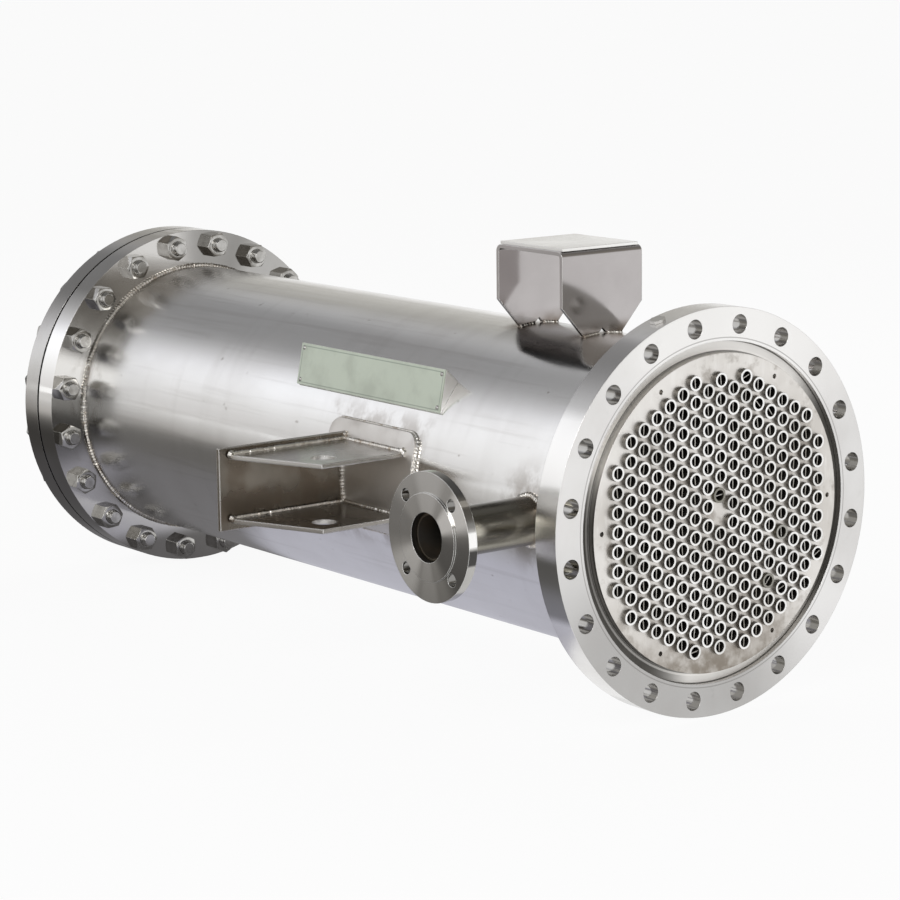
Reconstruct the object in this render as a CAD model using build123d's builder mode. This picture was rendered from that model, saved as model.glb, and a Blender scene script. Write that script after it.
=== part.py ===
"""Shell and tube heat exchanger: a flanged shell with an open tube end, side lugs, a stool and two nozzles."""

import os

from build123d import *

# Frame: millimetres, +X out of the open tube end along the shell axis, +Z up.
# The origin is the centre of the front flange face, and the near nozzle leaves towards -Y.

# Shell and end flanges
shell_radius = 200.5
shell_wall = 6.0
shell_end_gap = 3.0
flange_radius = 255.0
flange_thickness = 38.0
flange_span = 1219.0
bolt_circle_radius = 234.0
bolt_hole_radius = 12.0
bolt_count = 20

# Rear closure
gasket_thickness = 5.0
gasket_inner_radius = 201.0
gasket_outer_radius = 219.0
cover_thickness = 35.0

# Tubesheet and tubes
seat_radius = 213.2
seat_depth = 22.5
sheet_rim_depth = 7.5
sheet_face_radius = 199.0
sheet_face_height = 2.6
tube_pitch = 23.81
tube_radius = 9.525
tube_wall = 1.65
tube_overhang = 5.4
tube_sides = 8
tube_columns = 8
tube_field_share = 57.0
insert_thickness = 1.2
insert_setback = 1.5
insert_clearance = 0.45
tapped_hole_circle_radius = 186.0
tapped_hole_radius = 3.0
tapped_hole_depth = 12.0
tapped_hole_count = 6

# Nozzles
nozzle_from_face = 118.0
nozzle_face_reach = 353.0
nozzle_pipe_radius = 30.15
nozzle_pipe_wall = 3.9
nozzle_pipe_setback = 7.0
nozzle_flange_radius = 79.2
nozzle_flange_thickness = 12.0
nozzle_raised_radius = 53.7
nozzle_raised_height = 3.0
nozzle_bolt_circle_radius = 63.25
nozzle_bolt_hole_radius = 8.0
nozzle_bolt_count = 4

# Side lugs
lug_plate_thickness = 6.0
lug_rear_x = -503.0
lug_front_x = -371.0
lug_mid_z = 4.0
lug_gusset_spacing = 77.5
lug_gusset_rear_reach = 382.0
lug_gusset_front_reach = 329.0
lug_back_reach = 397.0
lug_back_height = 108.0
lug_hole_x = -408.0
lug_hole_reach = 301.0
lug_hole_radius = 16.0
lug_pad_thickness = 6.0
lug_pad_rear_x = -540.0
lug_pad_front_x = -352.0
lug_pad_height = 140.0
lug_pad_corner = 20.0

# Top stool
stool_rear_x = -348.0
stool_front_x = -215.0
stool_width = 132.0
stool_top_z = 308.3
stool_plate = 5.0
stool_bend_radius = 9.0
stool_chamfer_z = 237.0
stool_foot_width = 62.0
stool_notch = 7.0
stool_pad_thickness = 4.0
stool_pad_inset = 4.0

# Nameplate on its folded holder
plate_rear_x = -648.0
plate_front_x = -328.0
plate_height = 56.0
plate_thickness = 1.5
plate_low_y = -174.4
plate_low_z = 101.9
plate_lean_angle = 11.2
holder_thickness = 3.0

# Vent plug in the front flange rim
plug_angle = 18.0
plug_from_face = 20.0
plug_head_radius = 10.0
plug_head_height = 4.0
plug_stem_radius = 6.0
plug_depth = 14.0

# Working clearance between pieces that slide together, and the overrun of every cut
fit = 0.2
overrun = 20.0

# Derived places
half_share = 0.5
bolt_phase = half_share * (360.0 / bolt_count)
shell_front_x = -(seat_depth + shell_end_gap)
shell_rear_x = -(flange_span - seat_depth - shell_end_gap)
shell_length = shell_front_x - shell_rear_x
rear_face_x = -flange_span
cover_front_x = rear_face_x - gasket_thickness
cover_rear_x = cover_front_x - cover_thickness
tube_front_x = sheet_face_height + tube_overhang
tube_length = tube_front_x - rear_face_x
insert_length = tube_length - 2 * insert_setback
outlet_x = -(flange_span - nozzle_from_face)
pipe_inner_reach = ((shell_radius - shell_wall) ** 2 - nozzle_pipe_radius ** 2) ** half_share
pipe_length = nozzle_face_reach + nozzle_raised_height - nozzle_pipe_setback - pipe_inner_reach
pad_radius = shell_radius + fit + lug_pad_thickness
lug_length = lug_front_x - lug_rear_x
lug_pad_length = lug_pad_front_x - lug_pad_rear_x
lug_top_z = lug_mid_z + half_share * lug_gusset_spacing
lug_bottom_z = lug_mid_z - half_share * lug_gusset_spacing - lug_plate_thickness
stool_length = stool_front_x - stool_rear_x
stool_mid_x = half_share * (stool_front_x + stool_rear_x)
stool_half = half_share * stool_width
stool_foot_half = half_share * stool_foot_width
stool_foot_z = ((shell_radius + fit) ** 2 - stool_foot_half ** 2) ** half_share
plate_length = plate_front_x - plate_rear_x
plate_mid_x = half_share * (plate_front_x + plate_rear_x)
row_step_share = 3 ** half_share / 2

os.makedirs("parts", exist_ok=True)


def tube_places():
    """Return the tube centres as (y, z) pairs: a triangular field with vertical columns."""
    places = []
    for column in range(-tube_columns, tube_columns + 1):
        shift = half_share * (column % 2)
        for row in range(-2 * tube_columns, 2 * tube_columns):
            level = row + shift
            inside = row_step_share ** 2 * column ** 2 + level ** 2 <= tube_field_share
            blank = column == 0 and level == 0
            dropped = abs(column) == 1 and abs(level) > tube_columns - 1
            if inside and not blank and not dropped:
                places.append((column * row_step_share * tube_pitch, level * tube_pitch))
    return places


tube_centres = tube_places()

# Shell barrel with a hole for each nozzle pipe
with BuildPart() as shell:
    with BuildSketch(Plane.YZ.offset(shell_rear_x)):
        Circle(shell_radius)
        Circle(shell_radius - shell_wall, mode=Mode.SUBTRACT)
    extrude(amount=shell_length)
    with BuildSketch(Plane.XZ):
        with Locations((-nozzle_from_face, 0)):
            Circle(nozzle_pipe_radius + fit)
    extrude(amount=shell_radius + overrun, mode=Mode.SUBTRACT)
    with BuildSketch(Plane.XZ):
        with Locations((outlet_x, 0)):
            Circle(nozzle_pipe_radius + fit)
    extrude(amount=-(shell_radius + overrun), mode=Mode.SUBTRACT)
shell.part.label = "shell"
export_step(shell.part, "parts/shell.step")

# Front flange: ring bored for the shell, recessed for the tubesheet, drilled on one bolt circle
with BuildPart() as front_flange:
    with BuildSketch(Plane.YZ):
        Circle(flange_radius)
    extrude(amount=-flange_thickness)
    with BuildSketch(Plane.YZ):
        Circle(shell_radius + fit)
    extrude(amount=-(flange_thickness + overrun), mode=Mode.SUBTRACT)
    with BuildSketch(Plane.YZ):
        Circle(seat_radius)
    extrude(amount=-seat_depth, mode=Mode.SUBTRACT)
    with BuildSketch(Plane.YZ):
        with PolarLocations(bolt_circle_radius, bolt_count, start_angle=bolt_phase):
            Circle(bolt_hole_radius)
    extrude(amount=-(flange_thickness + overrun), mode=Mode.SUBTRACT)
    plug_plane = Plane.XY.rotated((plug_angle, 0, 0)).offset(flange_radius - plug_depth)
    with BuildSketch(plug_plane):
        with Locations((-plug_from_face, 0)):
            Circle(plug_stem_radius + fit)
    extrude(amount=plug_depth + overrun, mode=Mode.SUBTRACT)
front_flange.part.label = "front_flange"
export_step(front_flange.part, "parts/front_flange.step")

# Vent plug screwed into the rim between two bolt holes
with BuildPart() as vent_plug:
    with BuildSketch(plug_plane):
        with Locations((-plug_from_face, 0)):
            Circle(plug_stem_radius)
    extrude(amount=plug_depth)
    with BuildSketch(plug_plane.offset(plug_depth)):
        with Locations((-plug_from_face, 0)):
            RegularPolygon(plug_head_radius, 6)
    extrude(amount=plug_head_height)
vent_plug.part.label = "vent_plug"
export_step(vent_plug.part, "parts/vent_plug.step")

# Rear flange: a plain ring on the shell, drilled on the same bolt circle
with BuildPart() as rear_flange:
    with BuildSketch(Plane.YZ.offset(rear_face_x)):
        Circle(flange_radius)
    extrude(amount=flange_thickness)
    with BuildSketch(Plane.YZ.offset(rear_face_x)):
        Circle(shell_radius + fit)
    extrude(amount=flange_thickness + overrun, mode=Mode.SUBTRACT)
    with BuildSketch(Plane.YZ.offset(rear_face_x)):
        with PolarLocations(bolt_circle_radius, bolt_count, start_angle=bolt_phase):
            Circle(bolt_hole_radius)
    extrude(amount=flange_thickness + overrun, mode=Mode.SUBTRACT)
rear_flange.part.label = "rear_flange"
export_step(rear_flange.part, "parts/rear_flange.step")

# Gasket ring inside the bolt circle, which leaves the open gap at the rim
with BuildPart() as rear_gasket:
    with BuildSketch(Plane.YZ.offset(cover_front_x)):
        Circle(gasket_outer_radius)
        Circle(gasket_inner_radius, mode=Mode.SUBTRACT)
    extrude(amount=gasket_thickness)
rear_gasket.part.label = "rear_gasket"
export_step(rear_gasket.part, "parts/rear_gasket.step")

# Flat cover on the rear flange
with BuildPart() as rear_cover:
    with BuildSketch(Plane.YZ.offset(cover_rear_x)):
        Circle(flange_radius)
    extrude(amount=cover_thickness)
    with BuildSketch(Plane.YZ.offset(cover_rear_x)):
        with PolarLocations(bolt_circle_radius, bolt_count, start_angle=bolt_phase):
            Circle(bolt_hole_radius)
    extrude(amount=cover_thickness + overrun, mode=Mode.SUBTRACT)
rear_cover.part.label = "rear_cover"
export_step(rear_cover.part, "parts/rear_cover.step")

# Front tubesheet: a stepped disc that seats in the flange recess, its drilled face proud of the flange
with BuildPart() as front_tubesheet:
    with BuildSketch(Plane.YZ.offset(-seat_depth)):
        Circle(seat_radius - fit)
    extrude(amount=seat_depth - sheet_rim_depth)
    with BuildSketch(Plane.YZ.offset(-sheet_rim_depth)):
        Circle(sheet_face_radius)
    extrude(amount=sheet_rim_depth + sheet_face_height)
    with BuildSketch(Plane.YZ.offset(sheet_face_height)):
        with Locations(*tube_centres):
            RegularPolygon(tube_radius + fit, tube_sides)
    extrude(amount=-(seat_depth + sheet_face_height + overrun), mode=Mode.SUBTRACT)
    with BuildSketch(Plane.YZ.offset(sheet_face_height)):
        with PolarLocations(tapped_hole_circle_radius, tapped_hole_count, start_angle=360.0 / tapped_hole_count):
            Circle(tapped_hole_radius)
    extrude(amount=-tapped_hole_depth, mode=Mode.SUBTRACT)
front_tubesheet.part.label = "front_tubesheet"
export_step(front_tubesheet.part, "parts/front_tubesheet.step")

# Tubes: open tubes of few sides through the tubesheet, ends standing proud of its face
with BuildPart() as tubes:
    with BuildSketch(Plane.YZ.offset(tube_front_x)):
        with Locations(*tube_centres):
            RegularPolygon(tube_radius, tube_sides)
        with Locations(*tube_centres):
            RegularPolygon(tube_radius - tube_wall, tube_sides, mode=Mode.SUBTRACT)
    extrude(amount=-tube_length)
tubes.part.label = "tubes"
export_step(tubes.part, "parts/tubes.step")

# Inserts: one flat strip down each tube, edge upright
with BuildPart() as tube_inserts:
    with BuildSketch(Plane.YZ.offset(tube_front_x - insert_setback)):
        with Locations(*tube_centres):
            Rectangle(insert_thickness, 2 * (tube_radius - tube_wall - insert_clearance))
    extrude(amount=-insert_length)
tube_inserts.part.label = "tube_inserts"
export_step(tube_inserts.part, "parts/tube_inserts.step")

# Near nozzle: pipe set into the shell wall, slip-on flange with a raised face
with BuildPart() as inlet_pipe:
    with BuildSketch(Plane.XZ.offset(pipe_inner_reach)):
        with Locations((-nozzle_from_face, 0)):
            Circle(nozzle_pipe_radius)
            Circle(nozzle_pipe_radius - nozzle_pipe_wall, mode=Mode.SUBTRACT)
    extrude(amount=pipe_length)
inlet_pipe.part.label = "inlet_pipe"
export_step(inlet_pipe.part, "parts/inlet_pipe.step")

with BuildPart() as inlet_flange:
    with BuildSketch(Plane.XZ.offset(nozzle_face_reach)):
        with Locations((-nozzle_from_face, 0)):
            Circle(nozzle_flange_radius)
    extrude(amount=-nozzle_flange_thickness)
    with BuildSketch(Plane.XZ.offset(nozzle_face_reach)):
        with Locations((-nozzle_from_face, 0)):
            Circle(nozzle_raised_radius)
    extrude(amount=nozzle_raised_height)
    with BuildSketch(Plane.XZ.offset(nozzle_face_reach + nozzle_raised_height)):
        with Locations((-nozzle_from_face, 0)):
            Circle(nozzle_pipe_radius + fit)
            with PolarLocations(nozzle_bolt_circle_radius, nozzle_bolt_count, start_angle=180.0 / nozzle_bolt_count):
                Circle(nozzle_bolt_hole_radius)
    extrude(amount=-(nozzle_flange_thickness + nozzle_raised_height + overrun), mode=Mode.SUBTRACT)
inlet_flange.part.label = "inlet_flange"
export_step(inlet_flange.part, "parts/inlet_flange.step")

# Far nozzle: the same pair turned half a turn about the middle of the shell
half_turn_axis = Axis((half_share * rear_face_x, 0, 0), (0, 0, 1))

with BuildPart() as outlet_pipe:
    add(inlet_pipe.part.rotate(half_turn_axis, 180.0))
outlet_pipe.part.label = "outlet_pipe"
export_step(outlet_pipe.part, "parts/outlet_pipe.step")

with BuildPart() as outlet_flange:
    add(inlet_flange.part.rotate(half_turn_axis, 180.0))
outlet_flange.part.label = "outlet_flange"
export_step(outlet_flange.part, "parts/outlet_flange.step")

# Near lug: a pad rolled to the shell, a back plate across the axis and two level gussets with one hole each
with BuildPart() as near_lug_pad:
    with BuildSketch(Plane.XZ):
        with Locations((half_share * (lug_pad_front_x + lug_pad_rear_x), lug_mid_z)):
            RectangleRounded(lug_pad_length, lug_pad_height, lug_pad_corner)
    extrude(amount=pad_radius + overrun)
    with BuildSketch(Plane.YZ.offset(lug_pad_rear_x - overrun)):
        Circle(pad_radius)
        Circle(shell_radius + fit, mode=Mode.SUBTRACT)
    extrude(amount=lug_pad_length + 2 * overrun, mode=Mode.INTERSECT)
near_lug_pad.part.label = "near_lug_pad"
export_step(near_lug_pad.part, "parts/near_lug_pad.step")

with BuildPart() as near_lug_back:
    with BuildSketch(Plane.YZ.offset(lug_rear_x)):
        with Locations((-lug_back_reach, lug_mid_z)):
            Rectangle(lug_back_reach, lug_back_height, align=(Align.MIN, Align.CENTER))
        Circle(pad_radius + fit, mode=Mode.SUBTRACT)
    extrude(amount=-lug_plate_thickness)
near_lug_back.part.label = "near_lug_back"
export_step(near_lug_back.part, "parts/near_lug_back.step")

with BuildPart() as near_lug_top_gusset:
    with BuildSketch(Plane.XY.offset(lug_top_z)):
        with BuildLine():
            Polyline(
                (lug_rear_x, 0),
                (lug_rear_x, -lug_gusset_rear_reach),
                (lug_front_x, -lug_gusset_front_reach),
                (lug_front_x, 0),
                close=True,
            )
        make_face()
        with Locations((lug_hole_x, -lug_hole_reach)):
            Circle(lug_hole_radius, mode=Mode.SUBTRACT)
    extrude(amount=lug_plate_thickness)
    with BuildSketch(Plane.YZ.offset(lug_rear_x - overrun)):
        Circle(pad_radius + fit)
    extrude(amount=lug_length + 2 * overrun, mode=Mode.SUBTRACT)
near_lug_top_gusset.part.label = "near_lug_top_gusset"
export_step(near_lug_top_gusset.part, "parts/near_lug_top_gusset.step")

with BuildPart() as near_lug_bottom_gusset:
    with BuildSketch(Plane.XY.offset(lug_bottom_z)):
        with BuildLine():
            Polyline(
                (lug_rear_x, 0),
                (lug_rear_x, -lug_gusset_rear_reach),
                (lug_front_x, -lug_gusset_front_reach),
                (lug_front_x, 0),
                close=True,
            )
        make_face()
        with Locations((lug_hole_x, -lug_hole_reach)):
            Circle(lug_hole_radius, mode=Mode.SUBTRACT)
    extrude(amount=lug_plate_thickness)
    with BuildSketch(Plane.YZ.offset(lug_rear_x - overrun)):
        Circle(pad_radius + fit)
    extrude(amount=lug_length + 2 * overrun, mode=Mode.SUBTRACT)
near_lug_bottom_gusset.part.label = "near_lug_bottom_gusset"
export_step(near_lug_bottom_gusset.part, "parts/near_lug_bottom_gusset.step")

# Far lug: the near one mirrored through the axis
with BuildPart() as far_lug_pad:
    mirror(near_lug_pad.part, about=Plane.XZ)
far_lug_pad.part.label = "far_lug_pad"
export_step(far_lug_pad.part, "parts/far_lug_pad.step")

with BuildPart() as far_lug_back:
    mirror(near_lug_back.part, about=Plane.XZ)
far_lug_back.part.label = "far_lug_back"
export_step(far_lug_back.part, "parts/far_lug_back.step")

with BuildPart() as far_lug_top_gusset:
    mirror(near_lug_top_gusset.part, about=Plane.XZ)
far_lug_top_gusset.part.label = "far_lug_top_gusset"
export_step(far_lug_top_gusset.part, "parts/far_lug_top_gusset.step")

with BuildPart() as far_lug_bottom_gusset:
    mirror(near_lug_bottom_gusset.part, about=Plane.XZ)
far_lug_bottom_gusset.part.label = "far_lug_bottom_gusset"
export_step(far_lug_bottom_gusset.part, "parts/far_lug_bottom_gusset.step")

# Stool: one plate bent to a channel, its two legs tapered to a foot that follows the shell
with BuildPart() as stool_channel:
    with BuildSketch(Plane.XZ):
        with Locations((stool_mid_x, 0)):
            Rectangle(stool_length, stool_top_z, align=(Align.CENTER, Align.MIN))
        fillet(vertices().group_by(Axis.Z)[-1], stool_bend_radius)
    extrude(amount=stool_half, both=True)
    with BuildSketch(Plane.XZ):
        with Locations((stool_mid_x, -overrun)):
            Rectangle(
                stool_length - 2 * stool_plate,
                stool_top_z - stool_plate + overrun,
                align=(Align.CENTER, Align.MIN),
            )
        fillet(vertices().group_by(Axis.Z)[-1], stool_bend_radius - stool_plate)
    extrude(amount=stool_half + overrun, both=True, mode=Mode.SUBTRACT)
    with BuildSketch(Plane.YZ.offset(stool_rear_x - overrun)):
        with BuildLine():
            Polyline(
                (-stool_half, stool_top_z + overrun),
                (-stool_half, stool_chamfer_z),
                (-stool_foot_half, stool_foot_z),
                (-stool_foot_half, 0),
                (stool_foot_half, 0),
                (stool_foot_half, stool_foot_z),
                (stool_half, stool_chamfer_z),
                (stool_half, stool_top_z + overrun),
                close=True,
            )
        make_face()
        Circle(shell_radius + fit, mode=Mode.SUBTRACT)
        with Locations((0, shell_radius + fit)):
            RegularPolygon(stool_notch, 4, mode=Mode.SUBTRACT)
    extrude(amount=stool_length + 2 * overrun, mode=Mode.INTERSECT)
stool_channel.part.label = "stool_channel"
export_step(stool_channel.part, "parts/stool_channel.step")

with BuildPart() as stool_pad:
    with BuildSketch(Plane.XY.offset(stool_top_z)):
        with Locations((stool_mid_x, 0)):
            Rectangle(stool_length - 2 * stool_pad_inset, stool_width - 2 * stool_pad_inset)
    extrude(amount=stool_pad_thickness)
stool_pad.part.label = "stool_pad"
export_step(stool_pad.part, "parts/stool_pad.step")

# Nameplate: a bare flat plate on a folded holder that stands its upper edge off the shell
plate_plane = Plane(origin=(plate_mid_x, plate_low_y, plate_low_z), x_dir=(1, 0, 0), z_dir=(0, -1, 0))
plate_plane = plate_plane.rotated((-plate_lean_angle, 0, 0))
plate_top = plate_plane.from_local_coords((0, plate_height, 0))

with BuildPart() as nameplate_holder:
    with BuildSketch(plate_plane):
        Rectangle(plate_length, plate_height, align=(Align.CENTER, Align.MIN))
    extrude(amount=-holder_thickness)
    for cheek_x in (plate_rear_x, plate_front_x - holder_thickness):
        with BuildSketch(Plane.YZ.offset(cheek_x)):
            with BuildLine():
                Polyline((0, 0), (plate_top.Y, plate_top.Z), (plate_low_y, plate_low_z), close=True)
            make_face()
        extrude(amount=holder_thickness)
    with BuildSketch(Plane.YZ.offset(plate_rear_x - overrun)):
        Circle(shell_radius + fit)
    extrude(amount=plate_length + 2 * overrun, mode=Mode.SUBTRACT)
nameplate_holder.part.label = "nameplate_holder"
export_step(nameplate_holder.part, "parts/nameplate_holder.step")

with BuildPart() as nameplate:
    with BuildSketch(plate_plane):
        Rectangle(plate_length, plate_height, align=(Align.CENTER, Align.MIN))
    extrude(amount=plate_thickness)
nameplate.part.label = "nameplate"
export_step(nameplate.part, "parts/nameplate.step")
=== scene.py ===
"""Finished looks of a shell and tube heat exchanger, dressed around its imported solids."""

import logging
import math
import random
from dataclasses import dataclass, field
from enum import Enum
from functools import reduce
from typing import Callable, Mapping, Optional, Sequence, Union

import bmesh
import bpy
from mathutils import Matrix, Vector


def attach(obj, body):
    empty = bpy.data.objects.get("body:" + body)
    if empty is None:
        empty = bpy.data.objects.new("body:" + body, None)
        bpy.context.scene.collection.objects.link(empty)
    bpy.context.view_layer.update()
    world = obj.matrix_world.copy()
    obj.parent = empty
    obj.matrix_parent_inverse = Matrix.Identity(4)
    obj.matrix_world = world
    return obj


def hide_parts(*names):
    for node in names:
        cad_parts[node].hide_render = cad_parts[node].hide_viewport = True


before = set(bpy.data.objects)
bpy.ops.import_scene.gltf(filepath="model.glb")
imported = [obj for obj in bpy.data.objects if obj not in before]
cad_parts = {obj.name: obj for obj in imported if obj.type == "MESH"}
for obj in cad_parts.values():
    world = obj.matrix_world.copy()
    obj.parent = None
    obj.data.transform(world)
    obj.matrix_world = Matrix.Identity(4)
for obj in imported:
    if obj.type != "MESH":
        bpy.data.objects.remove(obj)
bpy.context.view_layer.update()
LOG = logging.getLogger("heat_exchanger")
BODY = "root"


class Axis(Enum):
    """An axis of the shared frame."""

    X = "X"
    Y = "Y"
    Z = "Z"


class Side(Enum):
    """The side of the shell that a lug or nozzle stands on, as the sign of Y."""

    NEAR = -1.0
    FAR = 1.0


Colour = tuple[float, float, float]
Point = tuple[float, float, float]
Scale = Union[float, Point]
Stops = Sequence[tuple[float, Colour]]
Key = Union[int, str]
Value = Union["Wire", float, Sequence[float], bpy.types.ID, str]
# A mask, the colour that it lays on and the roughness that it adds; stains and painted light and
# shade are all laid this way
PaintLayer = tuple["Wire", Colour, float]
# A beam of painted light: angle and half-width in degrees, and a strength that paints a highlight
# above 0 and shade below 0
Beam = tuple[float, float, float]
# An axis, a place or sign along it, and a reach or share
Seam = tuple[Axis, float, float]
# Low and high along a first axis, then along a second
Box = tuple[float, float, float, float]

# Places and sizes that several classes share, in metres
REAR_FACE = -1.181
NOZZLES: dict[Side, float] = {Side.NEAR: -0.118, Side.FAR: -1.101}
PIPE_BORE = 0.0263
LUG_REAR = -0.503
LUG_PAD: Box = (-0.540, -0.352, -0.066, 0.074)
LUG_EYE: Point = (-0.408, 0.301, 0.016)
LUG_SEAMS: tuple[Seam, ...] = ((Axis.X, LUG_REAR, 0.02), (Axis.Y, 0.205, 0.016))
# Edges that turn by more than this stay sharp
SHARP_EDGE = math.radians(38.0)


def math_method(operation: str, flipped: bool = False) -> Callable[["Wire", Value], "Wire"]:
    """Make a method that adds one Math node over a wire and another value.

    Args:
        operation: The node's operation.
        flipped: Whether the wire comes second, as in a reflected form.

    Returns:
        The method.
    """

    def method(wire: "Wire", other: Value) -> "Wire":
        """Add the node."""
        return wire.calculate(operation, *((other, wire) if flipped else (wire, other)))

    return method


class Wire:
    """One output socket, whose arithmetic adds Math nodes to its tree."""

    __add__, __radd__ = math_method("ADD"), math_method("ADD", True)
    __sub__, __rsub__ = math_method("SUBTRACT"), math_method("SUBTRACT", True)
    __mul__, __rmul__ = math_method("MULTIPLY"), math_method("MULTIPLY", True)
    __truediv__, __rtruediv__ = math_method("DIVIDE"), math_method("DIVIDE", True)
    __pow__, __rpow__ = math_method("POWER"), math_method("POWER", True)
    at_least, at_most = math_method("MAXIMUM"), math_method("MINIMUM")

    def __init__(self, bench: "Bench", socket: bpy.types.NodeSocket) -> None:
        """Keep the socket and the bench that made it."""
        self.bench = bench
        self.socket = socket

    def calculate(self, operation: str, *values: Value) -> "Wire":
        """Add one Math node over the values."""
        return self.bench.node("ShaderNodeMath", dict(enumerate(values)), operation=operation)

    def __abs__(self) -> "Wire":
        """Drop the sign."""
        return self.calculate("ABSOLUTE", self)

    def sine(self) -> "Wire":
        """Return the sine of an angle in radians."""
        return self.calculate("SINE", self)

    def cosine(self) -> "Wire":
        """Return the cosine of an angle in radians."""
        return self.calculate("COSINE", self)

    def fraction(self) -> "Wire":
        """Return what is left above the whole number."""
        return self.calculate("FRACT", self)

    def reach(self, other: "Wire") -> "Wire":
        """Return how far a place is from the origin, from its two coordinates."""
        return (self ** 2.0 + other ** 2.0) ** 0.5

    def smooth(self, low: float, high: float) -> "Wire":
        """Ease from 0 at the low value to 1 at the high one, either way round."""
        limits = {"Value": self, "From Min": low, "From Max": high}
        return self.bench.node("ShaderNodeMapRange", limits, interpolation_type="SMOOTHSTEP")


class Bench:
    """A node tree with one way to add a node of any kind."""

    def __init__(self, tree: bpy.types.NodeTree) -> None:
        """Keep the tree that the nodes go into."""
        self.tree = tree

    @staticmethod
    def _find(sockets: Sequence[bpy.types.NodeSocket], key: Key) -> bpy.types.NodeSocket:
        """Return a socket by number, identifier or name, in that order.

        Args:
            sockets: A node's inputs or outputs.
            key: Number, identifier or name.

        Returns:
            The socket.
        """
        if isinstance(key, int):
            return sockets[key]
        for socket in sockets:
            if socket.identifier == key:
                return socket
        return sockets[key]

    def node(
        self,
        kind: str,
        inputs: Optional[Mapping[Key, Value]] = None,
        out: Key = 0,
        **settings: object,
    ) -> Wire:
        """Add a node, set it up and return one of its outputs.

        Args:
            kind: The node's type.
            inputs: Values or links of its sockets, by number, identifier or name.
            out: The output to return.
            settings: Its own settings, which are set first.

        Returns:
            The chosen output, or the first input of a node that ends the tree.
        """
        made = self.tree.nodes.new(kind)
        for key, value in settings.items():
            setattr(made, key, value)
        for key, value in (inputs or {}).items():
            socket = self._find(made.inputs, key)
            if isinstance(value, Wire):
                self.tree.links.new(value.socket, socket)
            elif socket.type == "RGBA":
                socket.default_value = (*value, 1.0)
            else:
                socket.default_value = value
        return Wire(self, self._find(made.outputs, out) if made.outputs else made.inputs[0])

    def split(self, vector: Wire) -> tuple[Wire, Wire, Wire]:
        """Return a vector's three values."""
        outputs = self.node("ShaderNodeSeparateXYZ", {"Vector": vector}).socket.node.outputs
        return tuple(Wire(self, outputs[axis.value]) for axis in Axis)

    def join(self, x: Value, y: Value, z: Value) -> Wire:
        """Return a vector of three values."""
        return self.node("ShaderNodeCombineXYZ", {"X": x, "Y": y, "Z": z})

    def noise(self, vector: Wire, scale: Scale, detail: float, roughness: float) -> Wire:
        """Return cloud noise, stretched by its own scale on each axis.

        Args:
            vector: Place on the surface.
            scale: Clouds per metre, the same all ways or along each axis.
            detail: Octaves of finer noise.
            roughness: Strength of the finer noise.

        Returns:
            A value around 0.5.
        """
        rates = scale if isinstance(scale, tuple) else (scale, scale, scale)
        stretched = self.node("ShaderNodeVectorMath", {0: vector, 1: rates}, operation="MULTIPLY")
        inputs = {"Vector": stretched, "Scale": 1.0, "Detail": detail, "Roughness": roughness}
        return self.node("ShaderNodeTexNoise", inputs, noise_dimensions="3D")

    def blend(self, share: Value, first: Value, second: Value) -> Wire:
        """Mix two colours by a share of the second."""
        inputs = {"Factor_Float": share, "A_Color": first, "B_Color": second}
        return self.node("ShaderNodeMix", inputs, "Result_Color", data_type="RGBA")

    def ramp(self, value: Value, stops: Stops) -> Wire:
        """Return a colour ramp's colour at a value.

        Args:
            value: Where to read the ramp, from 0 to 1.
            stops: The ramp's places and colours.

        Returns:
            The colour.
        """
        colour = self.node("ShaderNodeValToRGB", {"Fac": value}, "Color")
        elements = colour.socket.node.color_ramp.elements
        while len(elements) < len(stops):
            elements.new(1.0)
        for element, (place, tone) in zip(elements, stops):
            element.position = place
            element.color = (*tone, 1.0)
        return colour


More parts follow.
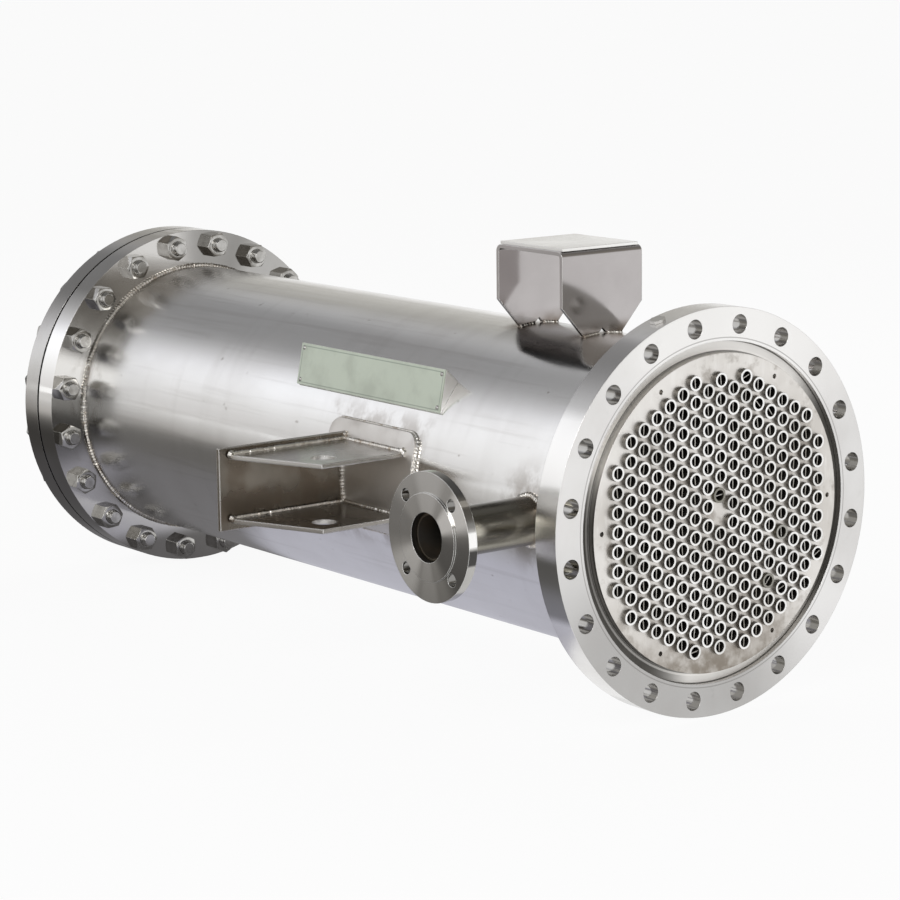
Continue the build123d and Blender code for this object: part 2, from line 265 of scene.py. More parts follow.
class Paint(Bench):
    """A material's node tree, which ends in one shader."""

    def __init__(self, name: str) -> None:
        """Start an empty material.

        Args:
            name: Its name.
        """
        self.material = bpy.data.materials.new(name)
        self.material.use_nodes = True
        self.material.node_tree.nodes.clear()
        super().__init__(self.material.node_tree)

    def place(self) -> Wire:
        """Return Object coordinates, in metres in the shared frame."""
        return self.node("ShaderNodeTexCoord", out="Object")

    def facing(self) -> Wire:
        """Return the surface's own direction."""
        return self.node("ShaderNodeNewGeometry", out="Normal")

    def softened(self, radius: float) -> Wire:
        """Return the surface's direction with its edges rounded by a radius."""
        return self.node("ShaderNodeBevel", {"Radius": radius}, samples=4)

    def worn_and_highlit_edges(self, reach: float) -> Wire:
        """Return a mask of the edges that handling has rubbed bright, which also carry a painted
        edge highlight.

        Args:
            reach: Width of the rubbed strip in metres.

        Returns:
            1 on an edge and 0 away from it.
        """
        pair = {0: self.softened(reach), 1: self.facing()}
        same = self.node("ShaderNodeVectorMath", pair, "Value", operation="DOT_PRODUCT")
        return (1.0 - same).smooth(0.01, 0.14)

    def box_gap(self, across: Wire, up: Wire, box: Box) -> Wire:
        """Return the distance outside a box, below 0 inside it.

        Args:
            across: Place along the box's first axis.
            up: Place along its second axis.
            box: The box.

        Returns:
            The distance in metres.
        """
        gaps = []
        for place, low, high in ((across, *box[:2]), (up, *box[2:])):
            gaps.append(abs(place - (low + high) / 2) - (high - low) / 2)
        return gaps[0].at_least(gaps[1])

    def dented(self, height: Wire, depth: float, edge: float) -> Wire:
        """Return a normal with softened edges and fine working marks.

        Args:
            height: Height of the marks, from 0 to 1.
            depth: Depth of the marks in metres.
            edge: Radius that sharp edges are softened by, in metres.

        Returns:
            The normal.
        """
        inputs = {"Strength": 1.0, "Distance": depth, "Height": height}
        return self.node("ShaderNodeBump", {**inputs, "Normal": self.softened(edge)})

    def end(self, shader: Wire) -> bpy.types.Material:
        """End the tree in a shader and return the finished material."""
        self.node("ShaderNodeOutputMaterial", {"Surface": shader})
        return self.material

    def close(
        self, colour: Value, roughness: Value, normal: Wire, metallic: float
    ) -> bpy.types.Material:
        """End the tree in a Principled shader.

        Args:
            colour: Base colour.
            roughness: Roughness.
            normal: Normal with its marks.
            metallic: 1 for bare metal and 0 for anything else.

        Returns:
            The finished material.
        """
        inputs = {"Base Color": colour, "Roughness": roughness}
        inputs.update({"Normal": normal, "Metallic": metallic})
        return self.end(self.node("ShaderNodeBsdfPrincipled", inputs))


@dataclass(frozen=True)
class Steel:
    """Bare steel: a tone that smears darken, a gloss that they dull, and fine working marks."""

    name: str
    tone: Colour
    shade: Colour
    gloss: tuple[float, float]
    smears: Scale = 9.0
    marks: Scale = (700.0, 30.0, 30.0)
    mark_depth: float = 0.000008
    mark_gloss: float = 0.08
    edge: float = 0.0012
    edge_wear_and_highlight: float = 0.0
    rubbed_and_highlit: Colour = (0.88, 0.87, 0.85)
    rubbed_dull: float = 0.22

    def working_marks(self, paint: Paint, place: Wire) -> Wire:
        """Return the height of the marks that rolling, brushing or turning left."""
        return paint.noise(place, self.marks, 3.0, 0.6)

    def stains(self, paint: Paint, place: Wire) -> list[PaintLayer]:
        """Return masks of stains, of which plain steel has none."""
        return []

    def make(self) -> bpy.types.Material:
        """Build the material.

        Returns:
            The finished material.
        """
        paint = Paint(self.name)
        place = paint.place()
        cloud = paint.noise(place, self.smears, 4.0, 0.55).smooth(0.32, 0.68)
        marks = self.working_marks(paint, place)
        colour = paint.blend(cloud, self.tone, self.shade)
        clean, dull = self.gloss
        roughness = clean + (dull - clean) * cloud + self.mark_gloss * (marks - 0.5)
        # Stains, painted highlights and painted shade are laid on in order
        for mask, stain, rough in self.stains(paint, place):
            colour = paint.blend(mask, colour, stain)
            roughness = roughness + mask * rough
        # Edges rubbed bright by handling, and painted brighter still as an edge highlight
        if self.edge_wear_and_highlight:
            edges = paint.worn_and_highlit_edges(self.edge) * self.edge_wear_and_highlight
            colour = paint.blend(edges, colour, self.rubbed_and_highlit)
            roughness = roughness + edges * self.rubbed_dull
        normal = paint.dented(marks, self.mark_depth, self.edge)
        return paint.close(colour, roughness, normal, 1.0)


@dataclass(frozen=True)
class BarrelSteel(Steel):
    """The rolled shell: satin, with smudges round it, heat tint by its welds and painted shade
    under the stool and at the rear.
    """

    tint: Colour = (0.20, 0.155, 0.115)
    grime: Colour = (0.33, 0.30, 0.27)
    painted_rear_shade: Colour = (0.74, 0.735, 0.725)
    painted_stool_shadow: Colour = (0.27, 0.27, 0.275)
    front_weld: float = -0.038
    stool_legs: tuple[float, float] = (-0.345, -0.218)

    def heat(self, paint: Paint, place: Wire) -> Wire:
        """Return the mask of the tint beside the welds, broken into patches.

        Args:
            paint: Tree to add to.
            place: Place on the surface.

        Returns:
            The strongest of the tints at that place.
        """
        x, y, z = paint.split(place)
        patches = paint.noise(place, (24.0, 20.0, 20.0), 4.0, 0.6)
        rear, front = REAR_FACE, self.front_weld
        edge = paint.box_gap(x, z, LUG_PAD)
        tints = [
            x.smooth(rear + 0.022, rear + 0.003) * patches.smooth(0.34, 0.60) * 0.6,
            x.smooth(rear + 0.10, rear + 0.02) * patches.smooth(0.52, 0.72) * 0.3,
            x.smooth(front - 0.03, front - 0.004) * patches.smooth(0.46, 0.66) * 0.4,
            edge.smooth(0.032, 0.002) * patches.smooth(0.42, 0.64) * 0.45,
        ]
        for side, centre in NOZZLES.items():
            ring = (x - centre).reach(z).smooth(0.085, 0.034) * (y * side.value).smooth(0.0, 0.05)
            tints.append(ring * patches.smooth(0.36, 0.62) * 0.55)
        for leg in self.stool_legs:
            foot = abs(x - leg).smooth(0.03, 0.006) * abs(y).smooth(0.055, 0.03)
            tints.append(foot * z.smooth(0.05, 0.1) * patches.smooth(0.3, 0.55) * 0.8)
        return reduce(Wire.at_least, tints)

    def stains(self, paint: Paint, place: Wire) -> list[PaintLayer]:
        """Return the smudges round the barrel, the tint beside the welds and the painted shade
        under the stool and at the rear.

        Args:
            paint: Tree to add to.
            place: Place on the surface.

        Returns:
            The stains and painted shade, in the order that they are laid on.
        """
        x, y, z = paint.split(place)
        bands = paint.noise(place, (22.0, 3.5, 3.5), 3.0, 0.6).smooth(0.5, 0.8)
        spots = paint.noise(place, (55.0, 70.0, 70.0), 2.0, 0.5).smooth(0.72, 0.79)
        streaks = paint.noise(place, (2.5, 75.0, 75.0), 3.0, 0.6).smooth(0.52, 0.72)
        # Rougher near the rear flange, and painted darker there: painted shade that tones down its
        # reflection
        dull = x.smooth(REAR_FACE + 0.24, REAR_FACE + 0.10)
        # Darker on the top near the rear flange
        crown = x.smooth(REAR_FACE + 0.16, REAR_FACE + 0.05) * z.smooth(0.14, 0.19)
        # Painted shadow on the barrel under the stool
        middle = sum(self.stool_legs) / 2
        half = middle - self.stool_legs[0]
        below = abs(x - middle).smooth(half + 0.012, half - 0.004) * abs(y).smooth(0.085, 0.03)
        return [
            (dull * 0.5, self.painted_rear_shade, 0.12),
            (crown * 0.5, self.grime, 0.0),
            (below * z.smooth(0.05, 0.1) * 0.75, self.painted_stool_shadow, 0.0),
            (streaks * 0.14, self.grime, 0.05),
            (bands * 0.13, self.grime, 0.05),
            (spots * 0.5, self.grime, 0.12),
            (self.heat(paint, place), self.tint, 0.12),
        ]


@dataclass(frozen=True)
class TurnedSteel(Steel):
    """Steel turned on a lathe: grooves about its axis, beams of painted highlight and painted shade
    across its faces and rims, and painted shade in its bores.

    The beams' angles run from +Y, or on a nozzle from +X, towards +Z.
    """

    axis: Axis = Axis.X
    centre: float = 0.0
    groove_rate: float = 2600.0
    scuff: Colour = (0.42, 0.41, 0.39)
    painted_sheen: Sequence[Beam] = ()
    painted_rim_reflections: Sequence[Beam] = ()
    rim_from: float = 0.25
    painted_highlight: Colour = (1.0, 0.99, 0.97)
    painted_shade: Colour = (0.17, 0.165, 0.155)
    bores: Sequence[float] = ()
    bore_shade: Colour = (0.16, 0.155, 0.145)
    back: Colour = (0.34, 0.33, 0.31)
    back_share: float = 0.0
    hole_circle: float = 0.0
    hole_reach: float = 0.0135
    hole_shade: Colour = (0.44, 0.43, 0.41)
    scribed: float = 0.0
    line: Colour = (0.22, 0.21, 0.20)

    def _turn(self, paint: Paint, place: Wire) -> tuple[Wire, Wire, Wire, Wire]:
        """Return where a place is about the turning axis.

        Args:
            paint: Tree to add to.
            place: Place on the surface.

        Returns:
            The place across, above and along the axis, and its distance from the axis.
        """
        x, y, z = paint.split(place)
        across, along = (y, x) if self.axis is Axis.X else (x - self.centre, y)
        return across, z, along, across.reach(z)

    def working_marks(self, paint: Paint, place: Wire) -> Wire:
        """Return concentric grooves on a face and rings round a rim.

        Args:
            paint: Tree to add to.
            place: Place on the surface.

        Returns:
            Their height, from 0 to 1.
        """
        _, _, along, radius = self._turn(paint, place)
        at = paint.join(radius * self.groove_rate, along * self.groove_rate, 0.0)
        return paint.noise(at, 1.0, 2.0, 0.6)

    def stains(self, paint: Paint, place: Wire) -> list[PaintLayer]:
        """Return the handling marks, the beams of painted highlight and shade, the painted shade on
        walls and back, and the scribed ring.

        Args:
            paint: Tree to add to.
            place: Place on the surface.

        Returns:
            The stains and painted light, in the order that they are laid on.
        """
        across, up, along, radius = self._turn(paint, place)
        normal_x, normal_y, _ = paint.split(paint.facing())
        flat = abs(normal_x if self.axis is Axis.X else normal_y).smooth(0.4, 0.8)
        upright = 1.0 - flat
        scuffs = paint.noise(place, 38.0, 4.0, 0.65).smooth(0.60, 0.80)
        found = [(scuffs * 0.25, self.scuff, 0.10)]
        outer = upright * radius.smooth(self.rim_from - 0.002, self.rim_from)
        # Beams of painted highlight and painted shade at fixed angles, on the flat faces and on the
        # rims
        for where, beams, core in ((flat, self.painted_sheen, 0.3), (outer, self.painted_rim_reflections, 0.65)):
            for angle, spread, strength in beams:
                turn, wide = math.radians(angle), math.radians(spread)
                aim = across / radius * math.cos(turn) + up / radius * math.sin(turn)
                beam = aim.smooth(math.cos(wide), math.cos(wide * core))
                tone = self.painted_highlight if strength > 0 else self.painted_shade
                found.append((beam * where * abs(strength), tone, 0.0))
        # Painted shade on the walls of the bores
        for bore in self.bores:
            wall = abs(radius - bore).smooth(0.0016, 0.0008)
            found.append((wall * upright, self.bore_shade, 0.35))
        # Painted shade on the back face
        if self.back_share:
            found.append((normal_x.smooth(-0.5, -0.8) * self.back_share, self.back, 0.15))
        # Painted shade on the walls of the bolt holes
        if self.hole_circle:
            gap = abs(radius - self.hole_circle)
            wall = gap.smooth(self.hole_reach + 0.001, self.hole_reach)
            found.append((wall * upright * 0.85, self.hole_shade, -0.14))
        if self.scribed:
            ring = abs(radius - self.scribed).smooth(0.0011, 0.0003)
            found.append((ring * along.smooth(-0.002, -0.0005) * 0.55, self.line, 0.1))
        return found


@dataclass(frozen=True)
class SheetSteel(Steel):
    """The tubesheet: beige and blotched, with painted shade between the tubes and painted light and
    shade in the groove round it.
    """

    grime: Colour = (0.30, 0.265, 0.225)
    pale: Colour = (0.92, 0.90, 0.87)
    groove_shade: Colour = (0.12, 0.115, 0.105)
    field_edge: float = 0.183
    face_edge: float = 0.199
    seat_edge: float = 0.2132
    shade_edge: float = 0.2036
    # The way round the sheet where the painted shade in the groove is strongest
    dark_way: float = math.radians(208.0)
    face: float = 0.0026

    def stains(self, paint: Paint, place: Wire) -> list[PaintLayer]:
        """Return the blotches of the face, the painted shade and grime between the tubes, and the
        painted light and shade in the groove.

        Args:
            paint: Tree to add to.
            place: Place on the surface.

        Returns:
            The stains and painted light, in the order that they are laid on.
        """
        x, y, z = paint.split(place)
        radius = y.reach(z)
        blots = paint.noise(place, 30.0, 5.0, 0.65)
        streaks = paint.noise(place, (20.0, 90.0, 26.0), 3.0, 0.6)
        tubed = radius.smooth(self.field_edge + 0.006, self.field_edge - 0.012)
        groove = x.smooth(self.face - 0.003, self.face - 0.008)
        rim = radius.smooth(self.shade_edge - 0.0006, self.shade_edge + 0.0006)
        aim = (y * math.cos(self.dark_way) + z * math.sin(self.dark_way)) / radius
        low_left = aim.smooth(0.6, 0.88)
        turned = (y / radius).smooth(0.62, 0.9).at_least(low_left)
        lit = (z - y).smooth(0.20, 0.26) * radius.smooth(0.165, 0.175)
        across, _, _ = paint.split(paint.facing())
        outer = radius.smooth(self.face_edge - 0.002, self.face_edge - 0.001)
        foot = abs(radius - self.face_edge - 0.001).smooth(0.0013, 0.0005)
        seat = abs(radius - self.seat_edge).smooth(0.0016, 0.0006)
        low = z.smooth(-0.12, -0.195)
        return [
            (streaks.smooth(0.5, 0.72) * 0.5, self.pale, -0.04),
            (blots.smooth(0.50, 0.68) * 0.5, self.grime, 0.1),
            # Darker towards the bottom
            (low * (0.4 + 0.6 * blots.smooth(0.35, 0.6)), self.grime, 0.05),
            # Painted shade between the tubes, blotched with grime
            (tubed * (0.1 + 0.2 * blots.smooth(0.45, 0.7)), self.grime, 0.04),
            # Painted highlight: the groove is painted pale
            (groove, self.pale, 0.15),
            # Painted highlight on the upper left of the face
            (lit * 0.55, self.pale, 0.0),
            # Painted shade in the groove: towards the lower left, along the raised face's edge, at
            # its foot, at the seat, and on the face's side wall
            (groove * low_left * 0.5, self.groove_shade, 0.0),
            (groove * rim * (0.1 + 0.9 * turned), self.groove_shade, 0.0),
            (groove * foot * 0.75, self.groove_shade, 0.0),
            (groove * seat * 0.75, self.groove_shade, 0.0),
            (abs(across).smooth(0.7, 0.3) * outer * (0.2 + 0.6 * turned), self.groove_shade, -0.1),
        ]


@dataclass(frozen=True)
class TubeSteel(Steel):
    """Tube ends: bright on the cut ring, painted shade down the bore and side walls, darker where
    an end is stained.
    """

    bore: Colour = (0.15, 0.14, 0.125)
    stained: Colour = (0.17, 0.16, 0.12)

    def stains(self, paint: Paint, place: Wire) -> list[PaintLayer]:
        """Return the painted shade on the bore and side walls, and the ends that stayed stained.

        Args:
            paint: Tree to add to.
            place: Place on the surface; not used.

        Returns:
            The stains and painted shade, in the order that they are laid on.
        """
        across, _, _ = paint.split(paint.facing())
        stain = paint.node("ShaderNodeAttribute", out="Fac", attribute_name="stain")
        # Painted shade on every wall that doesn't face along the tube
        return [(across.smooth(0.8, 0.4) * 0.92, self.bore, 0.1), (stain, self.stained, 0.15)]


@dataclass(frozen=True)
class PlateSteel(Steel):
    """Plate and pipe: brown from heat along its seams, with painted shade on some sides and in any
    bores, and bright walls round an eye.
    """

    tint: Colour = (0.16, 0.12, 0.085)
    seams: Sequence[Seam] = ()
    strength: float = 0.7
    scratch: Colour = (0.6, 0.58, 0.55)
    bore_radius: float = 0.0
    bore_centres: Sequence[float] = ()
    bore_shade: Colour = (0.15, 0.145, 0.135)
    shaded_sides: Sequence[Seam] = ()
    side_shade: Colour = (0.09, 0.08, 0.062)
    eye: Optional[Point] = None

    def stains(self, paint: Paint, place: Wire) -> list[PaintLayer]:
        """Return the scratches, the painted shade on some sides, the walls of holes and the tint
        beside each seam.

        Args:
            paint: Tree to add to.
            place: Place on the surface.

        Returns:
            The stains and painted shade, in the order that they are laid on.
        """
        x, y, z = paint.split(place)
        places = {Axis.X: x, Axis.Y: abs(y), Axis.Z: z}
        sides = dict(zip(Axis, paint.split(paint.facing())))
        scratches = paint.noise(place, (160.0, 40.0, 420.0), 2.0, 0.5).smooth(0.64, 0.78)
        found = [(scratches * 0.14, self.scratch, 0.05)]
        # Painted shade on the walls of the bores
        for centre in self.bore_centres:
            inner = self.bore_radius + 0.0008
            wall = (x - centre).reach(z).smooth(inner + 0.0008, inner)
            found.append((wall, self.bore_shade, 0.35))
        # Painted shade on the sides that face the given ways
        for axis, sign, share in self.shaded_sides:
            found.append(((sides[axis] * sign).smooth(0.2, 0.8) * share, self.side_shade, 0.05))
        if self.eye:
            eye_x, eye_y, radius = self.eye
            reach = (x - eye_x).reach(places[Axis.Y] - eye_y)
            wall = reach.smooth(radius + 0.0016, radius + 0.0006)
            found.append((wall * abs(sides[Axis.Z]).smooth(0.7, 0.3) * 0.45, self.rubbed_and_highlit, 0.1))
        if self.seams:
            patches = paint.noise(place, 26.0, 2.0, 0.5).smooth(0.4, 0.62)
            gaps = [(abs(places[axis] - seam), reach) for axis, seam, reach in self.seams]
            bands = [gap.smooth(reach, reach * 0.1) for gap, reach in gaps]
            heat = reduce(Wire.at_least, bands) * (0.35 + 0.65 * patches)
            found.append((heat * self.strength, self.tint, 0.12))
        return found


@dataclass(frozen=True)
class WeldSteel(Steel):
    """Weld metal: bright ripples with brown and straw tint."""

    tint: Colour = (0.30, 0.22, 0.14)

    def stains(self, paint: Paint, place: Wire) -> list[PaintLayer]:
        """Return the tint that the arc left in patches."""
        patches = paint.noise(place, 90.0, 3.0, 0.6)
        return [(patches.smooth(0.5, 0.72) * 0.7, self.tint, 0.1)]


@dataclass(frozen=True)
class Coating:
    """Rubber or painted sheet with a grain and faint soiling, and a border line if it has one."""

    name: str
    tone: Colour
    shade: Colour
    roughness: float
    grain: Scale = 500.0
    grain_depth: float = 0.00003
    metallic: float = 0.0
    edge: float = 0.0004
    border: Optional[Box] = None
    line: Colour = (0.20, 0.24, 0.20)

    def make(self) -> bpy.types.Material:
        """Build the material.

        Returns:
            The finished material.
        """
        paint = Paint(self.name)
        place = paint.place()
        soil = paint.noise(place, 24.0, 4.0, 0.6).smooth(0.42, 0.75)
        grain = paint.noise(place, self.grain, 2.0, 0.5)
        colour = paint.blend(soil * 0.7, self.tone, self.shade)
        if self.border:
            x, _, z = paint.split(place)
            line = abs(paint.box_gap(x, z, self.border)).smooth(0.0010, 0.0004)
            colour = paint.blend(line * 0.6, colour, self.line)
        roughness = self.roughness + 0.15 * soil + 0.1 * (grain - 0.5)
        normal = paint.dented(grain, self.grain_depth, self.edge)
        return paint.close(colour, roughness, normal, self.metallic)


def nozzle_steel(name: str, side: Side) -> TurnedSteel:
    """Return the turned steel of a nozzle's flange.

    Args:
        name: Name of the material.
        side: Side of the shell that the nozzle stands on.

    Returns:
        The finish.
    """
    return TurnedSteel(
        name, (0.50, 0.49, 0.47), (0.43, 0.42, 0.40), (0.12, 0.20), axis=Axis.Y,
        centre=NOZZLES[side], hole_circle=0.06325, hole_reach=0.009, rim_from=0.075,
        # Painted shade in the bores and holes, and beams of painted highlight and shade on the face
        # and the rim
        bores=(0.0302, PIPE_BORE), edge_wear_and_highlight=0.8, rubbed_and_highlit=(1.0, 0.99, 0.97), painted_shade=(0.07, 0.068, 0.065),
        hole_shade=(0.24, 0.235, 0.225), bore_shade=(0.07, 0.066, 0.06),
        painted_sheen=(
            (31.0, 24.0, 1.0), (226.0, 32.0, 0.85), (88.0, 28.0, 0.34),
            (270.0, 18.0, 0.3), (-22.0, 44.0, -0.7), (168.0, 30.0, -0.35),
        ),
        painted_rim_reflections=(
            (66.0, 25.0, -0.72), (38.5, 3.5, 1.0), (25.0, 11.0, -0.5),
            (6.0, 8.0, 1.0), (-10.0, 8.5, -1.0),
        ),
    )


def lug_plate(name: str, tone: Colour, shade: Colour, **more: object) -> PlateSteel:
    """Return the plate of a lug, with edges that are worn bright and carry a painted edge
    highlight.

    Args:
        name: Name of the material.
        tone: Its clean colour.
        shade: Its smeared colour.
        more: Further fields of the finish.

    Returns:
        The finish.
    """
    return PlateSteel(name, tone, shade, (0.18, 0.30), edge=0.0026, edge_wear_and_highlight=0.95, **more)


@dataclass
class Finishes:
    """Every finish of the exchanger, made once."""

    barrel: Steel = BarrelSteel(
        "satin_barrel", (0.90, 0.895, 0.885), (0.82, 0.81, 0.795), (0.13, 0.21),
        (5.0, 7.0, 7.0), (900.0, 24.0, 24.0), mark_depth=0.000004,
    )
    flange: Steel = TurnedSteel(
        "turned_flange", (0.84, 0.83, 0.82), (0.77, 0.755, 0.74), (0.18, 0.26), scribed=0.2172,
        # Painted shade on the back face, and beams of painted highlight and shade on the face and
        # the rim
        hole_circle=0.234, back_share=0.9, edge_wear_and_highlight=0.4,
        painted_sheen=((84.0, 60.0, 0.6), (248.0, 75.0, -0.5), (2.0, 35.0, -0.1)),
        painted_rim_reflections=((168.0, 42.0, 0.8), (194.5, 11.0, -0.75), (132.0, 16.0, -0.4), (243.0, 8.0, -0.3)),
    )
    rear_flange: Steel = TurnedSteel(
        "polished_flange", (0.62, 0.61, 0.595), (0.54, 0.525, 0.505), (0.05, 0.11),
        # Beams of painted highlight and painted shade on the face and the rim
        painted_sheen=(
            (112.0, 18.0, 0.3), (146.0, 20.0, -0.6), (184.0, 18.0, -0.85),
            (166.0, 9.0, 1.0), (79.0, 18.0, -0.6), (56.0, 22.0, -0.35),
        ),
        painted_rim_reflections=((168.0, 20.0, 1.0), (147.0, 12.0, 0.5), (206.0, 27.0, -0.75)),
    )
    cover: Steel = TurnedSteel(
        "turned_cover", (0.64, 0.63, 0.615), (0.56, 0.545, 0.525), (0.09, 0.17),
        # Beams of painted highlight and painted shade on the rim
        painted_rim_reflections=((171.0, 16.0, 0.1), (206.0, 27.0, -0.75), (132.0, 24.0, -0.2)),
    )
    near_nozzle: Steel = nozzle_steel("turned_near_nozzle", Side.NEAR)
    far_nozzle: Steel = nozzle_steel("turned_far_nozzle", Side.FAR)
    sheet: Steel = SheetSteel(
        "beige_tubesheet", (0.82, 0.795, 0.76), (0.70, 0.67, 0.63), (0.30, 0.42)
    )
    tube: Steel = TubeSteel("tube_ends", (1.0, 0.995, 0.985), (0.97, 0.96, 0.94), (0.24, 0.36))
    tape: Steel = Steel("tape_strip", (0.60, 0.585, 0.55), (0.40, 0.38, 0.34), (0.28, 0.42))
    pipe: Steel = PlateSteel(
        "olive_pipe", (0.54, 0.52, 0.455), (0.42, 0.40, 0.34), (0.16, 0.26),
        seams=((Axis.Y, 0.205, 0.04), (Axis.Y, 0.335, 0.03)), bore_radius=PIPE_BORE,
        bore_centres=tuple(NOZZLES.values()),
        # Painted shade on the pipe's top, bottom and ends
        shaded_sides=((Axis.Z, 1.0, 0.75), (Axis.Z, -1.0, 0.8), (Axis.Y, 1.0, 0.95), (Axis.Y, -1.0, 0.95)),
    )
    pad: Steel = PlateSteel(
        "pad_plate", (0.82, 0.80, 0.775), (0.72, 0.695, 0.665), (0.38, 0.50),
        # The band at Z 0.08 darkens the pad's upper half
        seams=((Axis.X, LUG_REAR, 0.022), (Axis.Z, 0.08, 0.06)), strength=0.3, edge_wear_and_highlight=0.5,
    )
    # The lug's back plate: a darker copy of the lug plate, painted shade, with a wide dark band at
    # its outer end
    lug_back: Steel = lug_plate(
        "shaded_lug_back_plate", (0.25, 0.23, 0.20), (0.20, 0.185, 0.16),
        seams=(*LUG_SEAMS, (Axis.Y, 0.385, 0.12)), strength=0.6,
    )
    lug: Steel = lug_plate(
        "brown_plate", (0.43, 0.41, 0.385), (0.34, 0.32, 0.295),
        seams=LUG_SEAMS, strength=0.5, eye=LUG_EYE,
    )
    # The top gussets: a lighter copy of the lug plate, a painted highlight
    gusset: Steel = lug_plate(
        "highlit_gusset_plate", (0.60, 0.585, 0.56), (0.50, 0.48, 0.455),
        seams=LUG_SEAMS, strength=0.5, eye=LUG_EYE,
    )
    holder: Steel = PlateSteel(
        "holder_sheet", (0.93, 0.93, 0.93), (0.86, 0.86, 0.86), (0.30, 0.40)
    )
    stool: Steel = PlateSteel(
        "bright_plate", (0.52, 0.495, 0.49), (0.47, 0.445, 0.44), (0.05, 0.10), edge_wear_and_highlight=0.7,
        seams=((Axis.Z, 0.196, 0.026),), strength=0.9,
        # Painted shade on the channel's underside
        shaded_sides=((Axis.Z, -1.0, 0.85),), side_shade=(0.19, 0.19, 0.192),
    )
    # The stool's pad: a lighter copy of the stool plate, a painted highlight on its top
    stool_top: Steel = Steel(
        "highlit_pale_plate_steel", (0.95, 0.945, 0.93), (0.88, 0.87, 0.85), (0.14, 0.22), edge_wear_and_highlight=0.5
    )
    weld: Steel = WeldSteel("weld_metal", (0.86, 0.84, 0.80), (0.62, 0.58, 0.53), (0.16, 0.30))
    nut: Steel = Steel(
        "bright_nut", (0.56, 0.55, 0.53), (0.36, 0.35, 0.33), (0.08, 0.16), 60.0, edge_wear_and_highlight=0.9
    )
    gasket: Coating = Coating("black_gasket", (0.03, 0.03, 0.03), (0.06, 0.055, 0.05), 0.7)
    plate: Coating = Coating(
        "pale_plate", (0.56, 0.615, 0.52), (0.45, 0.49, 0.415), 0.36,
        (300.0, 900.0, 900.0), 0.00002, 0.35, border=(-0.6445, -0.3315, 0.1053, 0.1534),
    )
    made: dict[str, bpy.types.Material] = field(default_factory=dict)

    def __getitem__(self, name: str) -> bpy.types.Material:
        """Return the material of a finish, made on first use.

        Args:
            name: Name of the finish.

        Returns:
            The material.
        """
        if name not in self.made:
            self.made[name] = getattr(self, name).make()
        return self.made[name]


class Pattern(Bench):
    """A geometry tree with named inputs that grows one plain mesh."""

    def __init__(self, name: str) -> None:
        """Start an empty tree with one geometry in and one out.

        Args:
            name: Its name.
        """
        self.group = bpy.data.node_groups.new(name, "GeometryNodeTree")
        super().__init__(self.group)
        for way in ("OUTPUT", "INPUT"):
            self.group.interface.new_socket(
                "Geometry", in_out=way, socket_type="NodeSocketGeometry"
            )
        self.entry = self.group.nodes.new("NodeGroupInput")
        self.exit = self.group.nodes.new("NodeGroupOutput")
        self.values: dict[str, object] = {}

    def start(self) -> Wire:
        """Return the geometry that the tree is given."""
        return Wire(self, self.entry.outputs[0])

    def size(self, name: str, value: object, kind: str = "Float") -> Wire:
        """Add a named input.

        Args:
            name: The input's name.
            value: The value that it is given.
            kind: Kind of socket, such as Float, Int or Object.

        Returns:
            The input's value inside the tree.
        """
        item = self.group.interface.new_socket(
            name, in_out="INPUT", socket_type="NodeSocket" + kind
        )
        self.values[item.identifier] = value
        return Wire(self, self._find(self.entry.outputs, item.identifier))

    def named(self, name: str) -> Wire:
        """Return the number that each point of the seed mesh carries under a name."""
        return self.node("GeometryNodeInputNamedAttribute", {"Name": name}, data_type="FLOAT")

    def turn(self, *angles: Value) -> Wire:
        """Return a rotation from the angles about the three axes."""
        return self.node("FunctionNodeEulerToRotation", {"Euler": self.join(*angles)})

    def scatter(self, points: Wire, shape: Wire, **more: Wire) -> Wire:
        """Return a shape on every point, turned or scaled by the further inputs."""
        inputs = {"Points": points, "Instance": shape, **more}
        return self.node("GeometryNodeInstanceOnPoints", inputs)

    def grow(
        self, name: str, seed: bpy.types.Mesh, geometry: Wire, material: bpy.types.Material
    ) -> bpy.types.Object:
        """Close the tree, run it on a seed mesh and keep the result as a plain piece.

        Args:
            name: Name of the finished piece.
            seed: Mesh that the tree starts from.
            geometry: The last geometry of the tree.
            material: Material of the whole piece.

        Returns:
            The finished piece, riding on the body.
        """
        real = self.node("GeometryNodeRealizeInstances", {"Geometry": geometry})
        done = self.node("GeometryNodeSetMaterial", {"Geometry": real, "Material": material})
        self.tree.links.new(done.socket, self.exit.inputs[0])
        carrier = bpy.data.objects.new(name + "_seed", seed)
        bpy.context.scene.collection.objects.link(carrier)
        modifier = carrier.modifiers.new("grow", "NODES")
        modifier.node_group = self.group
        for identifier, value in self.values.items():
            modifier[identifier] = value
        graph = bpy.context.evaluated_depsgraph_get()
        mesh = bpy.data.meshes.new_from_object(
            carrier.evaluated_get(graph), preserve_all_data_layers=True, depsgraph=graph
        )
        carrier.modifiers.remove(modifier)
        bpy.data.objects.remove(carrier)
        return place_piece(name, mesh, material)


def place_piece(
    name: str, mesh: bpy.types.Mesh, material: bpy.types.Material
) -> bpy.types.Object:
    """Put a finished mesh into the scene at the origin, riding on the body.

    Args:
        name: Name of the piece.
        mesh: Its mesh, with its place in its vertices.
        material: Its material.

    Returns:
        The piece.
    """
    mesh.name = name
    mesh.materials.clear()
    mesh.materials.append(material)
    work = bmesh.new()
    work.from_mesh(mesh)
    for face in work.faces:
        face.smooth = True
    for edge in work.edges:
        edge.smooth = len(edge.link_faces) != 2 or edge.calc_face_angle(0.0) < SHARP_EDGE
    work.to_mesh(mesh)
    work.free()
    piece = bpy.data.objects.new(name, mesh)
    bpy.context.scene.collection.objects.link(piece)
    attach(piece, BODY)
    LOG.info("piece %s: %d faces", name, len(mesh.polygons))
    return piece


